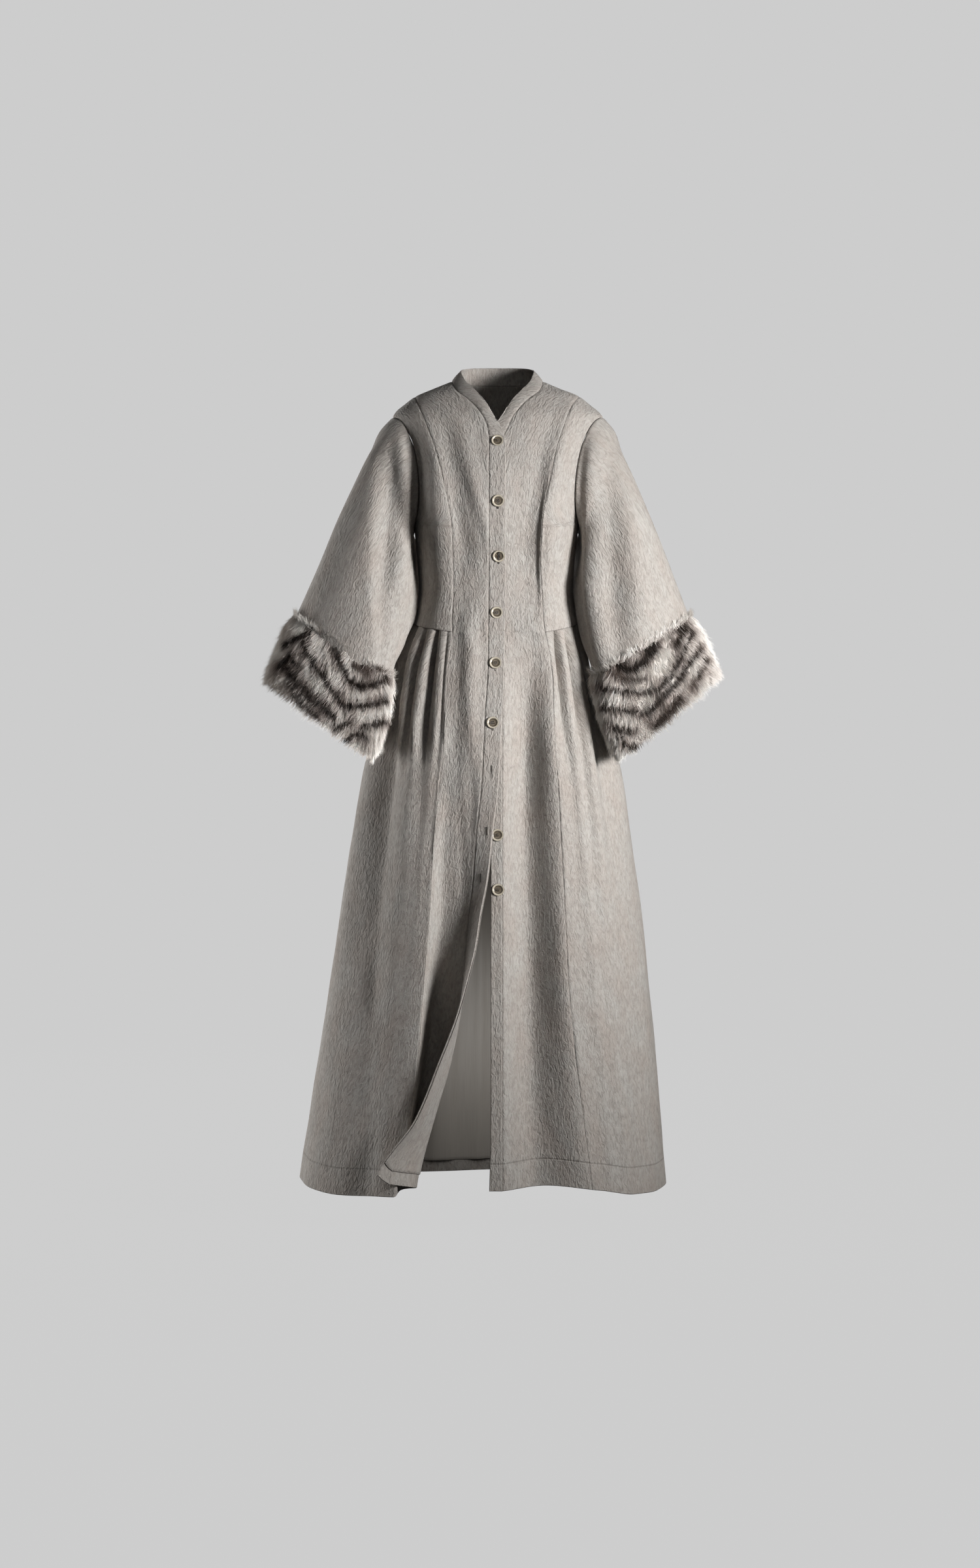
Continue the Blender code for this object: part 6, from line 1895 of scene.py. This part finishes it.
    def build(self) -> None:
        """Makes every button, its thread and every buttonhole."""
        button, thread, hole = self.model_button(), self.model_thread(), self.model_buttonhole()
        for number, (x, z, over) in enumerate(BUTTONS, start=1):
            centre, out = self.place(over, x, z)
            spot = self.frame(centre + out * self.above_button, out, self.tilt[number - 1])
            piece = self.copy(button, f"button_{number}_turned", spot)
            finish(piece, self.horn, "horn", f"button_{number}")
            finish(self.copy(thread, f"button_thread_{number}", spot), self.thread, "wool")
            if over:
                slit = centre + out * self.above_button - Vector((0, 0, self.below_centre))
                flat = self.frame(slit, out)
                finish(self.copy(hole, f"buttonhole_{number}", flat), self.thread, "wool")
        for number, (x, z) in enumerate(self.open_holes, start=7):
            centre, out = self.place(True, x, z)
            flat = self.frame(centre + out * self.above_open, out)
            finish(self.copy(hole, f"buttonhole_{number}", flat), self.thread, "wool")
        for model in (button, thread, hole):
            bpy.data.objects.remove(model)


@dataclass
class Studio:
    """A plain pale floor under soft studio light, seen from the photograph's place."""

    eye: tuple[float, float, float] = (-0.0142, -6.5, -0.717)
    lens: float = 82.6
    floor_z: float = -1.5
    backdrop: str = "#cdcdcd"
    floor: str = "#151515"

    def area_light(self, name: str, place: tuple, size: float, power: float,
                   aim: tuple = (0.0, 0.0, -0.75), spread: float = 180.0) -> None:
        """A square soft box that faces the coat, with a grid that narrows its spread."""
        data = bpy.data.lights.new(name, "AREA")
        data.size, data.energy, data.spread = size, power, math.radians(spread)
        lamp = add_object(name, data)
        lamp.location = place
        lamp.visible_camera = False
        lamp.rotation_euler = (Vector(aim) - Vector(place)).to_track_quat("-Z", "Y").to_euler()

    def build(self) -> None:
        """Sets up the camera, the lights, the world and the floor."""
        scene = bpy.context.scene
        camera = add_object("camera", bpy.data.cameras.new("camera"))
        camera.location, camera.rotation_euler = self.eye, (math.pi / 2, 0, 0)
        camera.data.lens, camera.data.sensor_width = self.lens, 36.0
        scene.camera = camera
        scene.view_settings.view_transform = "Standard"
        self.area_light("key_softbox", (2.06, -1.78, -0.2), 0.8, 17.0, (0.0, -0.1, -0.45), 64.0)
        self.area_light("rim_softbox", (-2.6, 0.5, -0.9), 1.2, 52.0)
        self.area_light("fill_softbox", (0.0, -3.7, 0.9), 1.0, 5.0)
        self.area_light("back_softbox", (-1.2, 3.4, 0.9), 2.0, 60.0)
        self.area_light("slit_softbox", (0.03, -0.05, -1.2), 0.24, 0.30, (-0.10, 1.0, -1.3))
        world = bpy.data.worlds.new("studio")
        scene.world = world
        world.use_nodes = True
        tree = world.node_tree
        tree.nodes.clear()
        seen = add_node(tree, "ShaderNodeBackground", {"Color": srgb(self.backdrop), "Strength": 1.0})
        around = add_node(tree, "ShaderNodeBackground", {"Color": (1, 1, 1, 1), "Strength": 0.03})
        ray = add_node(tree, "ShaderNodeLightPath").outputs["Is Camera Ray"]
        both = add_node(tree, "ShaderNodeMixShader",
                        {0: ray, 1: around.outputs[0], 2: seen.outputs[0]})
        add_node(tree, "ShaderNodeOutputWorld", {"Surface": both.outputs[0]})
        self.build_floor()

    def build_floor(self) -> None:
        """A wide pale sweep that shows in the backdrop's own tone."""
        material, tree, shader = new_material("pale_floor")
        set_inputs(tree, shader, {
            "Base Color": srgb(self.floor), "Roughness": 1.0, "Specular IOR Level": 0.0,
            "Emission Color": srgb(self.backdrop), "Emission Strength": 1.0})
        clear_choice()
        bpy.ops.mesh.primitive_circle_add(vertices=96, radius=30.0, fill_type="NGON",
                                          location=(0, 0, self.floor_z))
        floor = take_active()
        bpy.ops.object.transform_apply(location=True, rotation=True, scale=True)
        floor.name = "floor"
        floor.data.materials.append(material)
        floor.visible_diffuse = False
        floor.visible_glossy = False


def main() -> None:
    """Builds the coat over its solids."""
    logging.basicConfig(level=logging.INFO, format="%(name)s: %(message)s")
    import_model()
    wool, satin = BoiledWool().build(), LiningSatin().build()
    fur, horn, thread = LongFur().build(), PolishedHorn().build(), SewingThread().build()
    form = CoatForm()
    bodice = Bodice(form, wool)
    bodice.build()
    Collar(form, wool).build()
    for side in Side:
        sleeve = Sleeve(form, side, wool, fur)
        sleeve.build()
        sleeve.build_cuff()
    Linings(form, wool, satin).build()
    steps = np.linspace(NECK_STEP, WAIST_STEP, 90)
    over = form.over_placket(np.linspace(1, 2, 9), steps, bodice.down)
    under = form.under_placket(np.linspace(0, 1, 9), steps, bodice.down)
    Fastenings({True: drape(over), False: drape(under)}, horn, thread).build()
    Studio().build()


if __name__ == "__main__":
    main()
